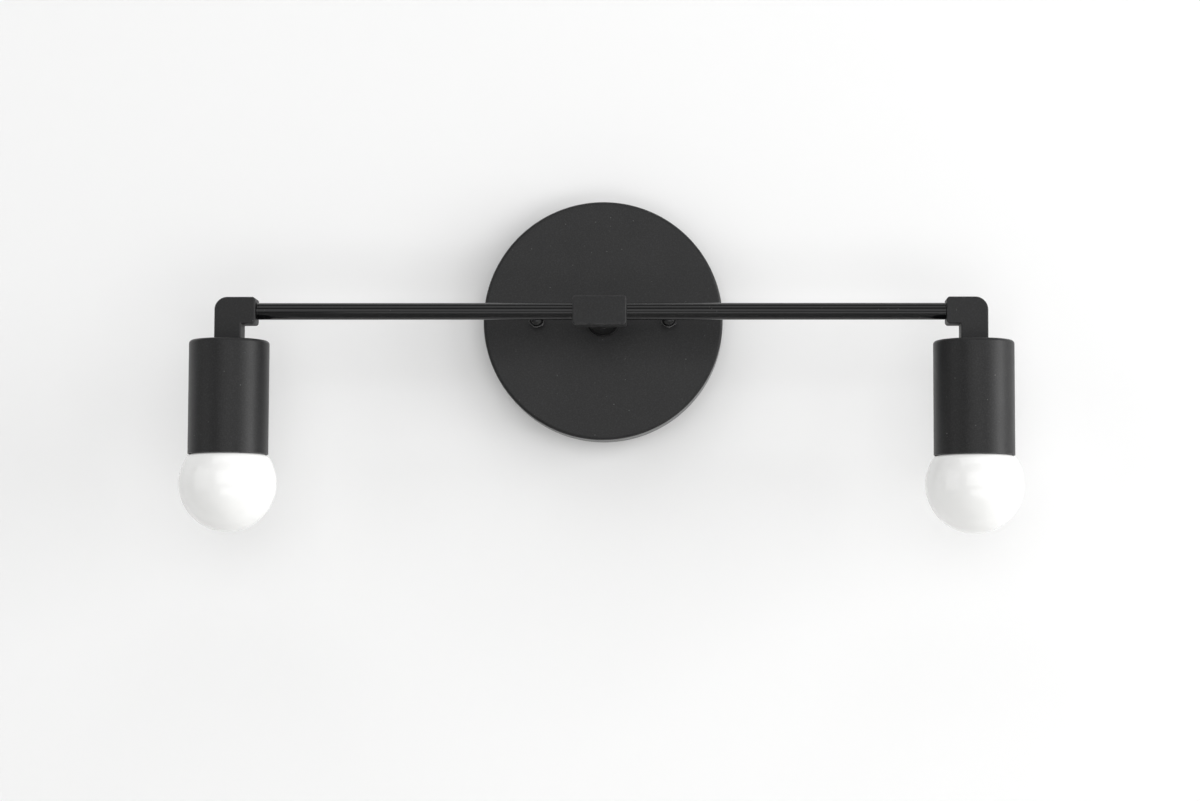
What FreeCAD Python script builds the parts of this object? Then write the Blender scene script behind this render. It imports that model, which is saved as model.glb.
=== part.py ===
"""Two-lamp vanity light for a wall: canopy, stem, block, arms, elbows, cups and globe bulbs.

Millimetres. The wall is the plane Y = 0 and the light stands out of it towards -Y.
X runs along the arms to the right and Z runs up. The origin is the centre of the
canopy on the wall, where the strap is screwed to the wall box.
"""

import FreeCAD, Part

import math
import os

V = FreeCAD.Vector

ALONG = V(1, 0, 0)
TO_WALL = V(0, 1, 0)
OUT = V(0, -1, 0)
UP = V(0, 0, 1)
DOWN = V(0, 0, -1)

# general fits
overrun = 2.0
thread_play = 0.04
slip_play = 0.05
seat_gap = 0.3

# canopy
canopy_radius = 63.5
canopy_depth = 21.0
canopy_wall = 1.0
canopy_edge_radius = 1.8
canopy_hole_play = 0.25

# strap and its fasteners
strap_canopy_gap = 8.5
strap_width = 22.0
strap_thickness = 2.0
strap_corner_radius = 4.0
strap_wire_hole_radius = 7.5
slot_from_strap_end = 9.55
box_slot_width = 4.8
box_slot_length = 10.0
stud_from_slot = 9.525
stud_radius = 2.05
stud_tip_in_nut = 5.2
lock_nut_flats = 8.7
lock_nut_height = 3.2
cap_nut_flats = 7.94
cap_nut_hex_height = 4.2
cap_nut_dome_inset = 0.27
cap_nut_dome_height = 4.0
cap_nut_left_turn = 20.0
cap_nut_right_turn = 30.0
ground_screw_radius = 2.3
ground_screw_head_radius = 4.6
ground_screw_head_height = 2.2
ground_screw_slot_width = 1.0
ground_screw_slot_depth = 1.1

# pipe nipples, the same thread at the stem and at the cups
pipe_radius = 5.15
pipe_bore_radius = 3.5
pipe_nut_flats = 14.3
pipe_nut_height = 3.4
pipe_end_beyond_nut = 1.0
lock_washer_radius = 7.6
lock_washer_thickness = 0.8

# stem
check_ring_radius = 8.75
check_ring_thickness = 1.6
check_ring_edge = 0.5
spacer_length = 31.9
spacer_wall = 2.4
spacer_bore_play = 0.4
spacer_edge = 0.4
seat_washer_width = 1.16
seat_washer_thickness = 3.5

# block and arms
block_width = 27.6
block_height = 15.0
block_depth = 16.0
block_corner_radius = 1.8
block_edge_radius = 0.7
pipe_arm_gap = 3.0
arm_radius = 4.35
arm_wall = 1.0
arm_end_gap = 1.05
arm_depth_in_elbow = 7.4

# elbows
lamp_spacing = 382.4
elbow_side = 13.8
elbow_inward_reach = 7.2
elbow_downward_reach = 8.3
elbow_outer_radius = 6.6
elbow_corner_radius = 1.6
elbow_edge_radius = 0.7
elbow_passage_radius = 3.5
elbow_pipe_depth = 7.2

# socket cups
holder_cup_gap = 1.75
cup_height = 58.7
cup_wall = 0.9
cup_top_edge_radius = 1.8
cup_rim_edge = 0.3

# lampholders
bracket_thickness = 1.2
bracket_side_margin = 0.31
bracket_foot_margin = 0.5
bracket_foot_reach = 4.6
bracket_screw_radius = 1.5
bracket_screw_length = 8.0
bracket_screw_head_radius = 2.2
bracket_screw_head_height = 1.6
holder_wall = 3.95
room_above_holder = 18.3
holder_floor = 4.5
holder_mouth_inset = 4.9
holder_mouth_step = 1.65
holder_mouth_depth = 3.2
holder_edge_radius = 0.8
holder_play = 0.1
shell_flare_play = 0.4
shell_flare_length = 2.8
shell_sheet = 0.45
shell_flange_width = 5.15
rivet_radius = 1.25
rivet_head_radius = 2.1
rivet_head_height = 0.8
shell_rivet_inset = 2.35
shell_rivet_turn = 45.0
tongue_flange_gap = 0.8
tongue_width = 5.6
tongue_thickness = 0.5
tongue_root_length = 4.6
tongue_ramp_length = 4.2
tongue_tip_length = 3.4
tongue_drop = 2.4

# lamp thread, seven turns to the inch
thread_pitch = 25.4 / 7
thread_wave = 0.4
cap_thread_radius = 12.65
cap_sheet = 0.4
lamp_thread_clearance = 0.3

# bulbs
globe_beyond_cup = 4.35
glass_thickness = 0.8
globe_rim_clearance = 0.4
globe_shoulder_start_angle = 30.0
globe_shoulder_end_angle = 60.0
cap_skirt_step = 0.45
cap_skirt_height = 3.6
cap_flange_height = 0.5
insulator_inset = 1.45
insulator_depth = 0.9
insulator_rise = 2.6
insulator_top_radius = 5.4
eyelet_radius = 4.7
eyelet_rise = 1.0
eyelet_depth = 0.7
eyelet_edge = 0.4
stem_flare_height = 1.6
stem_post_radius = 2.6
stem_post_length = 22.0
filament_wire_radius = 0.35
filament_foot_spread = 1.6
filament_half_width = 9.0
filament_rise = 11.0
filament_foot_sink = 1.2

# wires and their connectors
wire_radius = 1.0
wire_pair_offset = 1.2
elbow_bend_radius = 6.0
block_bend_radius = 4.2
canopy_bend_radius = 5.0
bend_run_share = 0.45
wire_plane_from_wall = 9.0
holder_wire_place = 7.0
holder_wire_depth = 3.0
holder_wire_play = 0.15
holder_bend_radius = 8.0
connector_start = 18.0
connector_length = 20.0
connector_mouth_radius = 5.4
connector_tip_radius = 3.0
connector_bore_radius = 2.9
connector_bore_depth = 12.0
connector_wire_end = 9.0

# the strap follows the canopy, and its holes follow the strap
strap_length = 2 * (canopy_radius - canopy_wall - strap_canopy_gap)
box_screw_spacing = strap_length - 2 * slot_from_strap_end
stud_spacing = box_screw_spacing - 2 * stud_from_slot
lock_nut_edge = stud_spacing / 2 - lock_nut_flats / math.sqrt(3)
ground_screw_place = (strap_wire_hole_radius + lock_nut_edge) / 2
cap_nut_dome_radius = cap_nut_flats / 2 - cap_nut_dome_inset

# the stem's pieces and the bracket follow the pipe, the arm's bore follows the arm
spacer_radius = pipe_radius + spacer_bore_play + spacer_wall
seat_washer_radius = pipe_radius + thread_play + seat_washer_width
bracket_width = 2 * (pipe_radius + thread_play + bracket_side_margin)
arm_bore_radius = arm_radius - arm_wall

# bulb cap, shell, lampholder, cup and globe follow the lamp thread, each round the one before
cap_skirt_radius = cap_thread_radius + cap_skirt_step
insulator_radius = cap_thread_radius - insulator_inset
shell_thread_radius = cap_thread_radius + lamp_thread_clearance
shell_outer_radius = shell_thread_radius + shell_sheet
shell_flare_inner = cap_skirt_radius + shell_flare_play
shell_flare_outer = shell_flare_inner + shell_sheet
shell_flange_bore_radius = cap_thread_radius - shell_flange_width
shell_rivet_place = cap_thread_radius - shell_rivet_inset
contact_rivet_place = shell_flange_bore_radius - tongue_flange_gap - tongue_root_length / 2
holder_bore_radius = shell_flare_outer + holder_play
holder_mouth_radius = holder_bore_radius + holder_mouth_step
holder_radius = holder_bore_radius + holder_wall
bracket_half_span = holder_radius - bracket_foot_margin - bracket_foot_reach
cup_radius = holder_radius + holder_cup_gap + cup_wall
globe_radius = cup_radius + globe_beyond_cup

# levels along Z and distances from the wall
face = -canopy_depth
canopy_inner_face = face + canopy_wall
stem_nut_end = canopy_inner_face + lock_washer_thickness + pipe_nut_height
stem_pipe_wall_end = stem_nut_end + pipe_end_beyond_nut
spacer_back = face - check_ring_thickness
seat_washer_back = spacer_back - spacer_length
block_back = seat_washer_back - seat_washer_thickness
arm_axis = block_back - block_depth / 2
stem_pipe_block_end = arm_axis + pipe_arm_gap

half_elbow = elbow_side / 2
lamp_x = lamp_spacing / 2
elbow_bottom = -half_elbow - elbow_downward_reach
cup_top = elbow_bottom
cup_rim = cup_top - cup_height
cup_inner_top = cup_top - cup_wall
bracket_bottom_of_plate = cup_inner_top - bracket_thickness
cup_nut_bottom = bracket_bottom_of_plate - pipe_nut_height
cup_pipe_bottom = cup_nut_bottom - pipe_end_beyond_nut
cup_pipe_top = elbow_bottom + elbow_pipe_depth
holder_mouth = cup_rim + holder_mouth_inset
holder_top = cup_top - room_above_holder
holder_ceiling = holder_top - holder_floor
tongue_low = holder_ceiling - tongue_thickness - tongue_drop
eyelet_top = tongue_low - seat_gap
insulator_top = eyelet_top - eyelet_rise
cap_top = insulator_top - insulator_rise

# the globe's outline: a ball, a tight shoulder, then a hollow curve up to the neck
start_turn = math.radians(globe_shoulder_start_angle)
end_turn = math.radians(globe_shoulder_end_angle)
neck_radius = cap_skirt_radius - cap_sheet - slip_play
rim_pass_radius = cup_radius - cup_wall - globe_rim_clearance
shoulder_start = V(globe_radius * math.cos(start_turn), 0, globe_radius * math.sin(start_turn))
shoulder_radius = (shoulder_start.x - rim_pass_radius) / (math.cos(start_turn) - math.cos(end_turn))
shoulder_centre = shoulder_start - V(math.cos(start_turn), 0, math.sin(start_turn)) * shoulder_radius
throat_radius = (rim_pass_radius - neck_radius) / (1 - math.cos(end_turn))
throat_reach = shoulder_radius + throat_radius
throat_centre = shoulder_centre + V(math.cos(end_turn), 0, math.sin(end_turn)) * throat_reach
globe_centre = cup_rim - (shoulder_centre.z + shoulder_radius * math.sin(end_turn))
cap_bottom = globe_centre + throat_centre.z
skirt_top = cap_bottom + cap_skirt_height
skirt_step = skirt_top - cap_sheet
neck_top = skirt_step - slip_play
shell_thread_bottom = skirt_top + seat_gap
shell_bottom = shell_thread_bottom - shell_flare_length


def cylinder(radius, start, end):
    """Round bar from one point to another."""
    run = end - start
    return Part.makeCylinder(radius, run.Length, start, run)


def tube(outer, inner, start, end):
    """Round tube from one point to another."""
    return cylinder(outer, start, end).cut(cylinder(inner, start, end))


def hexagon_bar(flats, start, end, turn=0.0):
    """Six-sided bar, turned about its own axis by an angle in degrees."""
    run = end - start
    side = V(0, 0, 1) if abs(run.z) < run.Length / 2 else V(1, 0, 0)
    across = run.cross(side).normalize()
    corner = flats / math.sqrt(3)
    sixth = math.pi / 3
    points = []
    for step in range(7):
        angle = sixth * step + math.radians(turn)
        points.append(start + side * (corner * math.cos(angle)) + across * (corner * math.sin(angle)))
    return Part.Face(Part.makePolygon(points)).extrude(run)


def revolved(edges, centre, axis):
    """Solid of revolution of a closed outline."""
    return Part.Face(Part.Wire(edges)).revolve(centre, axis, 360)


def line(start, end):
    """Straight edge from one point to another."""
    return Part.LineSegment(start, end).toShape()


def outline_edges(points):
    """Straight edges round a closed outline."""
    edges = []
    for first, second in zip(points, points[1:] + points[:1]):
        edges.append(line(first, second))
    return edges


def arc(centre, radius, start_angle, end_angle, side, rise):
    """Arc edge in the plane of two directions, from one angle to another in radians."""
    middle_angle = (start_angle + end_angle) / 2
    ends = []
    for angle in (start_angle, middle_angle, end_angle):
        ends.append(centre + side * (radius * math.cos(angle)) + rise * (radius * math.sin(angle)))
    return Part.Arc(*ends).toShape()


def rounded_edges(shape, radius, chosen):
    """Round the edges of a solid that a test picks out."""
    return shape.makeFillet(radius, [edge for edge in shape.Edges if chosen(edge)])


def at_level(edge, value, direction):
    """True when an edge lies wholly at one level along a direction."""
    box = edge.BoundBox
    low = V(box.XMin, box.YMin, box.ZMin).dot(direction)
    high = V(box.XMax, box.YMax, box.ZMax).dot(direction)
    return abs(low - value) < slip_play and abs(high - value) < slip_play


def bead_thread(radius, bottom, top):
    """Rounded lamp thread: a circle set off centre by the wave, carried up a helix of one pitch."""
    height = top - bottom
    spine = Part.Wire(Part.makeHelix(thread_pitch, height, thread_wave).Edges)
    section = Part.Wire(Part.makeCircle(radius, V(thread_wave, 0, 0), UP))
    sweep = Part.BRepOffsetAPI.MakePipeShell(spine)
    sweep.setTrihedronMode(V(0, 0, 0), UP)
    sweep.add(section)
    sweep.build()
    sweep.makeSolid()
    thread = sweep.shape()
    thread.rotate(V(0, 0, 0), UP, 360 * bottom / thread_pitch)
    thread.translate(UP * bottom)
    return thread


def canopy():
    """Spun round dish, open towards the wall, with a rounded front edge."""
    inner_radius = canopy_radius - canopy_wall
    inner_edge = canopy_edge_radius - canopy_wall
    quarter = math.pi / 2
    outer_centre = V(canopy_radius - canopy_edge_radius, face + canopy_edge_radius, 0)
    edges = [
        line(V(0, face, 0), V(outer_centre.x, face, 0)),
        arc(outer_centre, canopy_edge_radius, -quarter, 0, ALONG, TO_WALL),
        line(V(canopy_radius, outer_centre.y, 0), V(canopy_radius, 0, 0)),
        line(V(canopy_radius, 0, 0), V(inner_radius, 0, 0)),
        line(V(inner_radius, 0, 0), V(inner_radius, outer_centre.y, 0)),
        arc(outer_centre, inner_edge, 0, -quarter, ALONG, TO_WALL),
        line(V(outer_centre.x, canopy_inner_face, 0), V(0, canopy_inner_face, 0)),
        line(V(0, canopy_inner_face, 0), V(0, face, 0)),
    ]
    dish = revolved(edges, V(0, 0, 0), TO_WALL)
    front = V(0, face - overrun, 0)
    back = V(0, canopy_inner_face + overrun, 0)
    dish = dish.cut(cylinder(pipe_radius + canopy_hole_play, front, back))
    for side in (-1, 1):
        shift = ALONG * (side * stud_spacing / 2)
        dish = dish.cut(cylinder(stud_radius + canopy_hole_play, front + shift, back + shift))
    return dish


def slot_bar(width, length, centre, start, end):
    """Bar with round ends across X, running along Y, for cutting a slot."""
    half = length / 2 - width / 2
    rise = end - start
    left = Part.makeCylinder(width / 2, rise, V(centre - half, start, 0), TO_WALL)
    right = Part.makeCylinder(width / 2, rise, V(centre + half, start, 0), TO_WALL)
    middle = Part.makeBox(2 * half, rise, width, V(centre - half, start, -width / 2))
    return left.fuse(middle).fuse(right)


def mounting_strap():
    """Flat bar screwed to the wall box, with two slots, two stud holes and a wire hole."""
    bar = Part.makeBox(strap_length, strap_thickness, strap_width,
                       V(-strap_length / 2, -strap_thickness, -strap_width / 2))
    bar = rounded_edges(bar, strap_corner_radius,
                        lambda edge: edge.BoundBox.YLength > strap_thickness / 2)
    front = -strap_thickness - overrun
    bar = bar.cut(cylinder(strap_wire_hole_radius, V(0, front, 0), V(0, overrun, 0)))
    for side in (-1, 1):
        slot_x = side * box_screw_spacing / 2
        bar = bar.cut(slot_bar(box_slot_width, box_slot_length, slot_x, front, overrun))
        hole_x = side * stud_spacing / 2
        bar = bar.cut(cylinder(stud_radius + thread_play, V(hole_x, front, 0), V(hole_x, overrun, 0)))
    screw_front = V(ground_screw_place, front, 0)
    screw_back = V(ground_screw_place, overrun, 0)
    return bar.cut(cylinder(ground_screw_radius + thread_play, screw_front, screw_back))


def canopy_studs():
    """Two threaded rods from the strap out through the canopy."""
    rods = []
    for side in (-1, 1):
        shift = ALONG * (side * stud_spacing / 2)
        rods.append(cylinder(stud_radius, shift, shift + OUT * (canopy_depth + stud_tip_in_nut)))
    return Part.makeCompound(rods)


def strap_lock_nuts():
    """Two nuts that lock the studs to the strap."""
    nuts = []
    for side in (-1, 1):
        start = V(side * stud_spacing / 2, -strap_thickness, 0)
        end = start + OUT * lock_nut_height
        nut = hexagon_bar(lock_nut_flats, start, end)
        nuts.append(nut.cut(cylinder(stud_radius + thread_play, start, end)))
    return Part.makeCompound(nuts)


def cap_nut(place, turn):
    """Acorn nut: a hexagon with a domed end, bored blind for the stud."""
    hex_end = place + OUT * cap_nut_hex_height
    collar = hexagon_bar(cap_nut_flats, place, hex_end, turn)
    corner_cone_radius = cap_nut_flats / math.sqrt(3)
    chamfer = Part.makeCone(corner_cone_radius + cap_nut_hex_height / 2, cap_nut_flats / 2,
                            cap_nut_hex_height, place, OUT)
    collar = collar.common(chamfer)
    drop = cap_nut_dome_height
    ball_radius = (cap_nut_dome_radius ** 2 + drop ** 2) / (2 * drop)
    ball = Part.makeSphere(ball_radius, hex_end + OUT * (drop - ball_radius))
    keep = cylinder(cap_nut_dome_radius, hex_end, hex_end + OUT * drop)
    nut = collar.fuse(ball.common(keep)).removeSplitter()
    bore_end = place + OUT * (stud_tip_in_nut + seat_gap)
    return nut.cut(cylinder(stud_radius + thread_play, place, bore_end))


def canopy_cap_nuts():
    """Two cap nuts that pull the canopy to the wall."""
    left = cap_nut(V(-stud_spacing / 2, face, 0), cap_nut_left_turn)
    right = cap_nut(V(stud_spacing / 2, face, 0), cap_nut_right_turn)
    return Part.makeCompound([left, right])


def ground_screw():
    """Slotted screw in the strap for the ground wire."""
    under_head = V(ground_screw_place, -strap_thickness, 0)
    top = under_head + OUT * ground_screw_head_height
    shank = cylinder(ground_screw_radius, V(ground_screw_place, 0, 0), under_head)
    head = cylinder(ground_screw_head_radius, under_head, top)
    head = rounded_edges(head, ground_screw_head_height / 3, lambda edge: at_level(edge, top.y, TO_WALL))
    slot = Part.makeBox(2 * ground_screw_head_radius, ground_screw_slot_depth, ground_screw_slot_width,
                        V(ground_screw_place - ground_screw_head_radius, top.y, -ground_screw_slot_width / 2))
    return head.fuse(shank).cut(slot)


def stem_nipple():
    """Hollow threaded pipe that joins canopy and block and carries the wires."""
    return tube(pipe_radius, pipe_bore_radius, V(0, stem_pipe_wall_end, 0), V(0, stem_pipe_block_end, 0))


def stem_lock_washer():
    """Washer between the canopy and the nut behind it."""
    start = V(0, canopy_inner_face, 0)
    return tube(lock_washer_radius, pipe_radius + thread_play, start, start + TO_WALL * lock_washer_thickness)


def stem_lock_nut():
    """Nut on the stem's pipe inside the canopy."""
    start = V(0, stem_nut_end - pipe_nut_height, 0)
    end = V(0, stem_nut_end, 0)
    return hexagon_bar(pipe_nut_flats, start, end).cut(cylinder(pipe_radius + thread_play, start, end))


def stem_check_ring():
    """Thin ring where the stem meets the canopy."""
    ring = tube(check_ring_radius, pipe_radius + thread_play, V(0, face, 0), V(0, spacer_back, 0))
    inside = pipe_radius + check_ring_edge
    return rounded_edges(ring, check_ring_edge,
                         lambda edge: at_level(edge, spacer_back, TO_WALL) and edge.BoundBox.XMax > inside)


def stem_spacer():
    """Plain round tube over the pipe."""
    bore = spacer_radius - spacer_wall
    body = tube(spacer_radius, bore, V(0, spacer_back, 0), V(0, seat_washer_back, 0))
    return rounded_edges(body, spacer_edge,
                         lambda edge: at_level(edge, seat_washer_back, TO_WALL)
                         and edge.BoundBox.XMax > bore + spacer_edge)


def stem_seat_washer():
    """Narrow collar between the spacer and the block."""
    return tube(seat_washer_radius, pipe_radius + thread_play, V(0, seat_washer_back, 0), V(0, block_back, 0))


def center_block():
    """Small square block that takes the pipe from behind and an arm at each side."""
    low = V(-block_width / 2, arm_axis - block_depth / 2, -block_height / 2)
    block = Part.makeBox(block_width, block_depth, block_height, low)
    block = rounded_edges(block, block_corner_radius, lambda edge: edge.BoundBox.YLength > block_depth / 2)
    ends = (block_back, block_back - block_depth)
    block = rounded_edges(block, block_edge_radius,
                          lambda edge: any(at_level(edge, end, TO_WALL) for end in ends))
    reach = block_width / 2 + overrun
    block = block.cut(cylinder(arm_radius + slip_play, V(-reach, arm_axis, 0), V(reach, arm_axis, 0)))
    return block.cut(cylinder(pipe_radius + thread_play, V(0, block_back + overrun, 0),
                              V(0, stem_pipe_block_end, 0)))


def arm_tube(side):
    """Round tube from the block to one elbow."""
    inner_end = V(side * (pipe_radius + arm_end_gap), arm_axis, 0)
    outer_end = V(side * (lamp_x - half_elbow - elbow_inward_reach + arm_depth_in_elbow), arm_axis, 0)
    return tube(arm_radius, arm_bore_radius, inner_end, outer_end)


def elbow_outline():
    """Outline of the right-hand elbow as edges in the plane Y = 0, with its arm to the left."""
    quarter = math.pi / 2
    left = -half_elbow - elbow_inward_reach
    right = half_elbow
    top = half_elbow
    bottom = elbow_bottom
    small = elbow_corner_radius
    big = elbow_outer_radius
    corners = [
        (V(left + small, 0, top - small), small, quarter, 2 * quarter),
        (V(left + small, 0, -half_elbow + small), small, 2 * quarter, 3 * quarter),
        (V(-half_elbow, 0, -half_elbow), 0, 0, 0),
        (V(-half_elbow + small, 0, bottom + small), small, 2 * quarter, 3 * quarter),
        (V(right - small, 0, bottom + small), small, 3 * quarter, 4 * quarter),
        (V(right - big, 0, top - big), big, 0, quarter),
    ]
    edges = []
    joints = []
    for centre, radius, start, end in corners:
        if radius:
            curve = arc(centre, radius, start, end, ALONG, UP)
            edges.append(curve)
            joints.append((curve.valueAt(curve.FirstParameter), curve.valueAt(curve.LastParameter)))
        else:
            joints.append((centre, centre))
    for first, second in zip(joints, joints[1:] + joints[:1]):
        edges.append(line(first[1], second[0]))
    return Part.__sortEdges__(edges)


def elbow(side):
    """Square elbow, bored for the arm and the cup's pipe, with a round outer corner."""
    solid = Part.Face(Part.Wire(elbow_outline())).extrude(TO_WALL * elbow_side)
    solid.translate(OUT * half_elbow)
    faces = (-half_elbow, half_elbow)
    solid = rounded_edges(solid, elbow_edge_radius,
                          lambda edge: any(at_level(edge, level, TO_WALL) for level in faces))
    mouth = -half_elbow - elbow_inward_reach
    arm_end = mouth + arm_depth_in_elbow
    solid = solid.cut(cylinder(arm_radius + slip_play, V(mouth - overrun, 0, 0), V(arm_end, 0, 0)))
    solid = solid.cut(cylinder(elbow_passage_radius, V(mouth, 0, 0), V(0, 0, 0)))
    pipe_hole = cylinder(pipe_radius + thread_play, V(0, 0, elbow_bottom - overrun), V(0, 0, cup_pipe_top))
    solid = solid.cut(pipe_hole)
    solid = solid.cut(cylinder(elbow_passage_radius, V(0, 0, elbow_bottom), V(0, 0, 0)))
    solid = solid.cut(Part.makeSphere(elbow_passage_radius, V(0, 0, 0)))
    if side < 0:
        solid = solid.mirror(V(0, 0, 0), ALONG)
    solid.translate(V(side * lamp_x, arm_axis, 0))
    return solid


def on_lamp(shape, side):
    """Move a piece made on the Z axis to the axis of one lamp."""
    shape.translate(V(side * lamp_x, arm_axis, 0))
    return shape


def cup_nipple():
    """Hollow threaded pipe from the elbow down into the cup."""
    return tube(pipe_radius, pipe_bore_radius, V(0, 0, cup_pipe_bottom), V(0, 0, cup_pipe_top))


def cup_lock_nut():
    """Nut on the pipe, under the bracket's plate."""
    start = V(0, 0, cup_nut_bottom)
    end = V(0, 0, bracket_bottom_of_plate)
    return hexagon_bar(pipe_nut_flats, start, end).cut(cylinder(pipe_radius + thread_play, start, end))


def socket_cup():
    """Straight round cup, open below, with a rounded top edge."""
    quarter = math.pi / 2
    inner = cup_radius - cup_wall
    corner = V(cup_radius - cup_top_edge_radius, 0, cup_top - cup_top_edge_radius)
    hole = pipe_radius + canopy_hole_play
    edges = [
        line(V(hole, 0, cup_top), V(corner.x, 0, cup_top)),
        arc(corner, cup_top_edge_radius, quarter, 0, ALONG, UP),
        line(V(cup_radius, 0, corner.z), V(cup_radius, 0, cup_rim + cup_rim_edge)),
        line(V(cup_radius, 0, cup_rim + cup_rim_edge), V(cup_radius - cup_rim_edge, 0, cup_rim)),
        line(V(cup_radius - cup_rim_edge, 0, cup_rim), V(inner, 0, cup_rim)),
        line(V(inner, 0, cup_rim), V(inner, 0, corner.z)),
        arc(corner, cup_top_edge_radius - cup_wall, 0, quarter, ALONG, UP),
        line(V(corner.x, 0, cup_inner_top), V(hole, 0, cup_inner_top)),
        line(V(hole, 0, cup_inner_top), V(hole, 0, cup_top)),
    ]
    return revolved(edges, V(0, 0, 0), UP)


def socket_bracket():
    """Strap bent into a bridge: a plate under the cup's top, two legs and two feet on the lampholder."""
    plate_top = cup_inner_top
    sheet = bracket_thickness
    span = bracket_half_span
    foot_end = span + bracket_foot_reach
    points = [
        V(-span, 0, plate_top),
        V(span, 0, plate_top),
        V(span, 0, holder_top + sheet),
        V(foot_end, 0, holder_top + sheet),
        V(foot_end, 0, holder_top),
        V(span - sheet, 0, holder_top),
        V(span - sheet, 0, plate_top - sheet),
        V(sheet - span, 0, plate_top - sheet),
        V(sheet - span, 0, holder_top),
        V(-foot_end, 0, holder_top),
        V(-foot_end, 0, holder_top + sheet),
        V(-span, 0, holder_top + sheet),
    ]
    bridge = Part.Face(Part.Wire(outline_edges(points))).extrude(TO_WALL * bracket_width)
    bridge.translate(OUT * (bracket_width / 2))
    bridge = bridge.common(cylinder(holder_radius, V(0, 0, holder_top), V(0, 0, plate_top)))
    hole_start = V(0, 0, plate_top - sheet - overrun)
    bridge = bridge.cut(cylinder(pipe_radius + thread_play, hole_start, V(0, 0, plate_top + overrun)))
    for side in (-1, 1):
        place = V(side * bracket_screw_place(), 0, holder_top)
        bridge = bridge.cut(cylinder(bracket_screw_radius + slip_play, place, place + UP * (sheet + overrun)))
    return bridge


def bracket_screw_place():
    """Distance of the bracket's screws from the lamp's axis: the middle of the holder's wall."""
    return (holder_bore_radius + holder_radius) / 2


def bracket_screws():
    """Two screws through the bracket's feet into the lampholder."""
    screws = []
    for side in (-1, 1):
        place = V(side * bracket_screw_place(), 0, holder_top + bracket_thickness)
        head = cylinder(bracket_screw_head_radius, place, place + UP * bracket_screw_head_height)
        screws.append(head.fuse(cylinder(bracket_screw_radius, place + DOWN * bracket_screw_length, place)))
    return Part.makeCompound(screws)


def holder_rivet_places():
    """Places of the two rivets: the tongue's and the shell's."""
    turn = math.radians(shell_rivet_turn)
    shell_place = V(math.cos(turn), math.sin(turn), 0) * shell_rivet_place
    return (V(-contact_rivet_place, 0, 0), shell_place)


def wire_entry(side, role):
    """Place where a wire enters the lampholder: the hot wire has role +1, the neutral wire -1."""
    return V(side * role * wire_pair_offset, -role * holder_wire_place, 0)


def socket_body(side):
    """Moulded lampholder body: a thick floor above, a bore for the shell and a wider mouth below."""
    body = cylinder(holder_radius, V(0, 0, holder_mouth), V(0, 0, holder_top))
    body = rounded_edges(body, holder_edge_radius,
                         lambda edge: at_level(edge, holder_mouth, UP))
    body = body.cut(cylinder(holder_bore_radius, V(0, 0, holder_mouth - overrun), V(0, 0, holder_ceiling)))
    mouth_top = holder_mouth + holder_mouth_depth
    body = body.cut(cylinder(holder_mouth_radius, V(0, 0, holder_mouth - overrun), V(0, 0, mouth_top)))
    for place in holder_rivet_places():
        body = body.cut(cylinder(rivet_radius + slip_play, place + UP * (holder_ceiling - overrun),
                                 place + UP * (holder_top + overrun)))
    for role in (-1, 1):
        start = wire_entry(side, role) + UP * (holder_top - holder_wire_depth)
        end = start + UP * (holder_wire_depth + overrun)
        body = body.cut(cylinder(wire_radius + holder_wire_play, start, end))
    screw_bottom = holder_top + bracket_thickness - bracket_screw_length - seat_gap
    for screw_side in (-1, 1):
        place = ALONG * (screw_side * bracket_screw_place())
        body = body.cut(cylinder(bracket_screw_radius + thread_play, place + UP * screw_bottom,
                                 place + UP * (holder_top + overrun)))
    return body


def socket_shell():
    """Threaded brass shell with a flange against the holder's floor and a plain flare at its mouth."""
    outer = bead_thread(shell_outer_radius, shell_thread_bottom, holder_ceiling)
    flare_top = shell_thread_bottom + shell_sheet
    outer = outer.fuse(cylinder(shell_flare_outer, V(0, 0, shell_bottom), V(0, 0, flare_top)))
    hollow = bead_thread(shell_thread_radius, shell_bottom, holder_ceiling - shell_sheet)
    outer = outer.cut(hollow)
    flare_hollow = cylinder(shell_flare_inner, V(0, 0, shell_bottom - overrun), V(0, 0, shell_thread_bottom))
    outer = outer.cut(flare_hollow)
    outer = outer.cut(cylinder(shell_flange_bore_radius, V(0, 0, holder_ceiling - overrun),
                               V(0, 0, holder_ceiling + overrun)))
    place = holder_rivet_places()[1]
    return outer.cut(cylinder(rivet_radius + slip_play, place + UP * (holder_ceiling - overrun),
                              place + UP * (holder_ceiling + overrun)))


def center_contact():
    """Springy tongue riveted under the floor, bent down to meet the bulb's centre contact."""
    root_x = -contact_rivet_place - tongue_root_length / 2
    ramp_x = root_x + tongue_root_length
    tip_x = ramp_x + tongue_ramp_length
    end_x = tip_x + tongue_tip_length
    top = holder_ceiling
    low_top = tongue_low + tongue_thickness
    points = [
        V(root_x, 0, top),
        V(ramp_x, 0, top),
        V(tip_x, 0, low_top),
        V(end_x, 0, low_top),
        V(end_x, 0, tongue_low),
        V(tip_x, 0, tongue_low),
        V(ramp_x, 0, top - tongue_thickness),
        V(root_x, 0, top - tongue_thickness),
    ]
    strip = Part.Face(Part.Wire(outline_edges(points))).extrude(TO_WALL * tongue_width)
    strip.translate(OUT * (tongue_width / 2))
    place = holder_rivet_places()[0]
    hole = cylinder(rivet_radius + slip_play, place + UP * (top - overrun), place + UP * (top + overrun))
    return strip.cut(hole)


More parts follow.
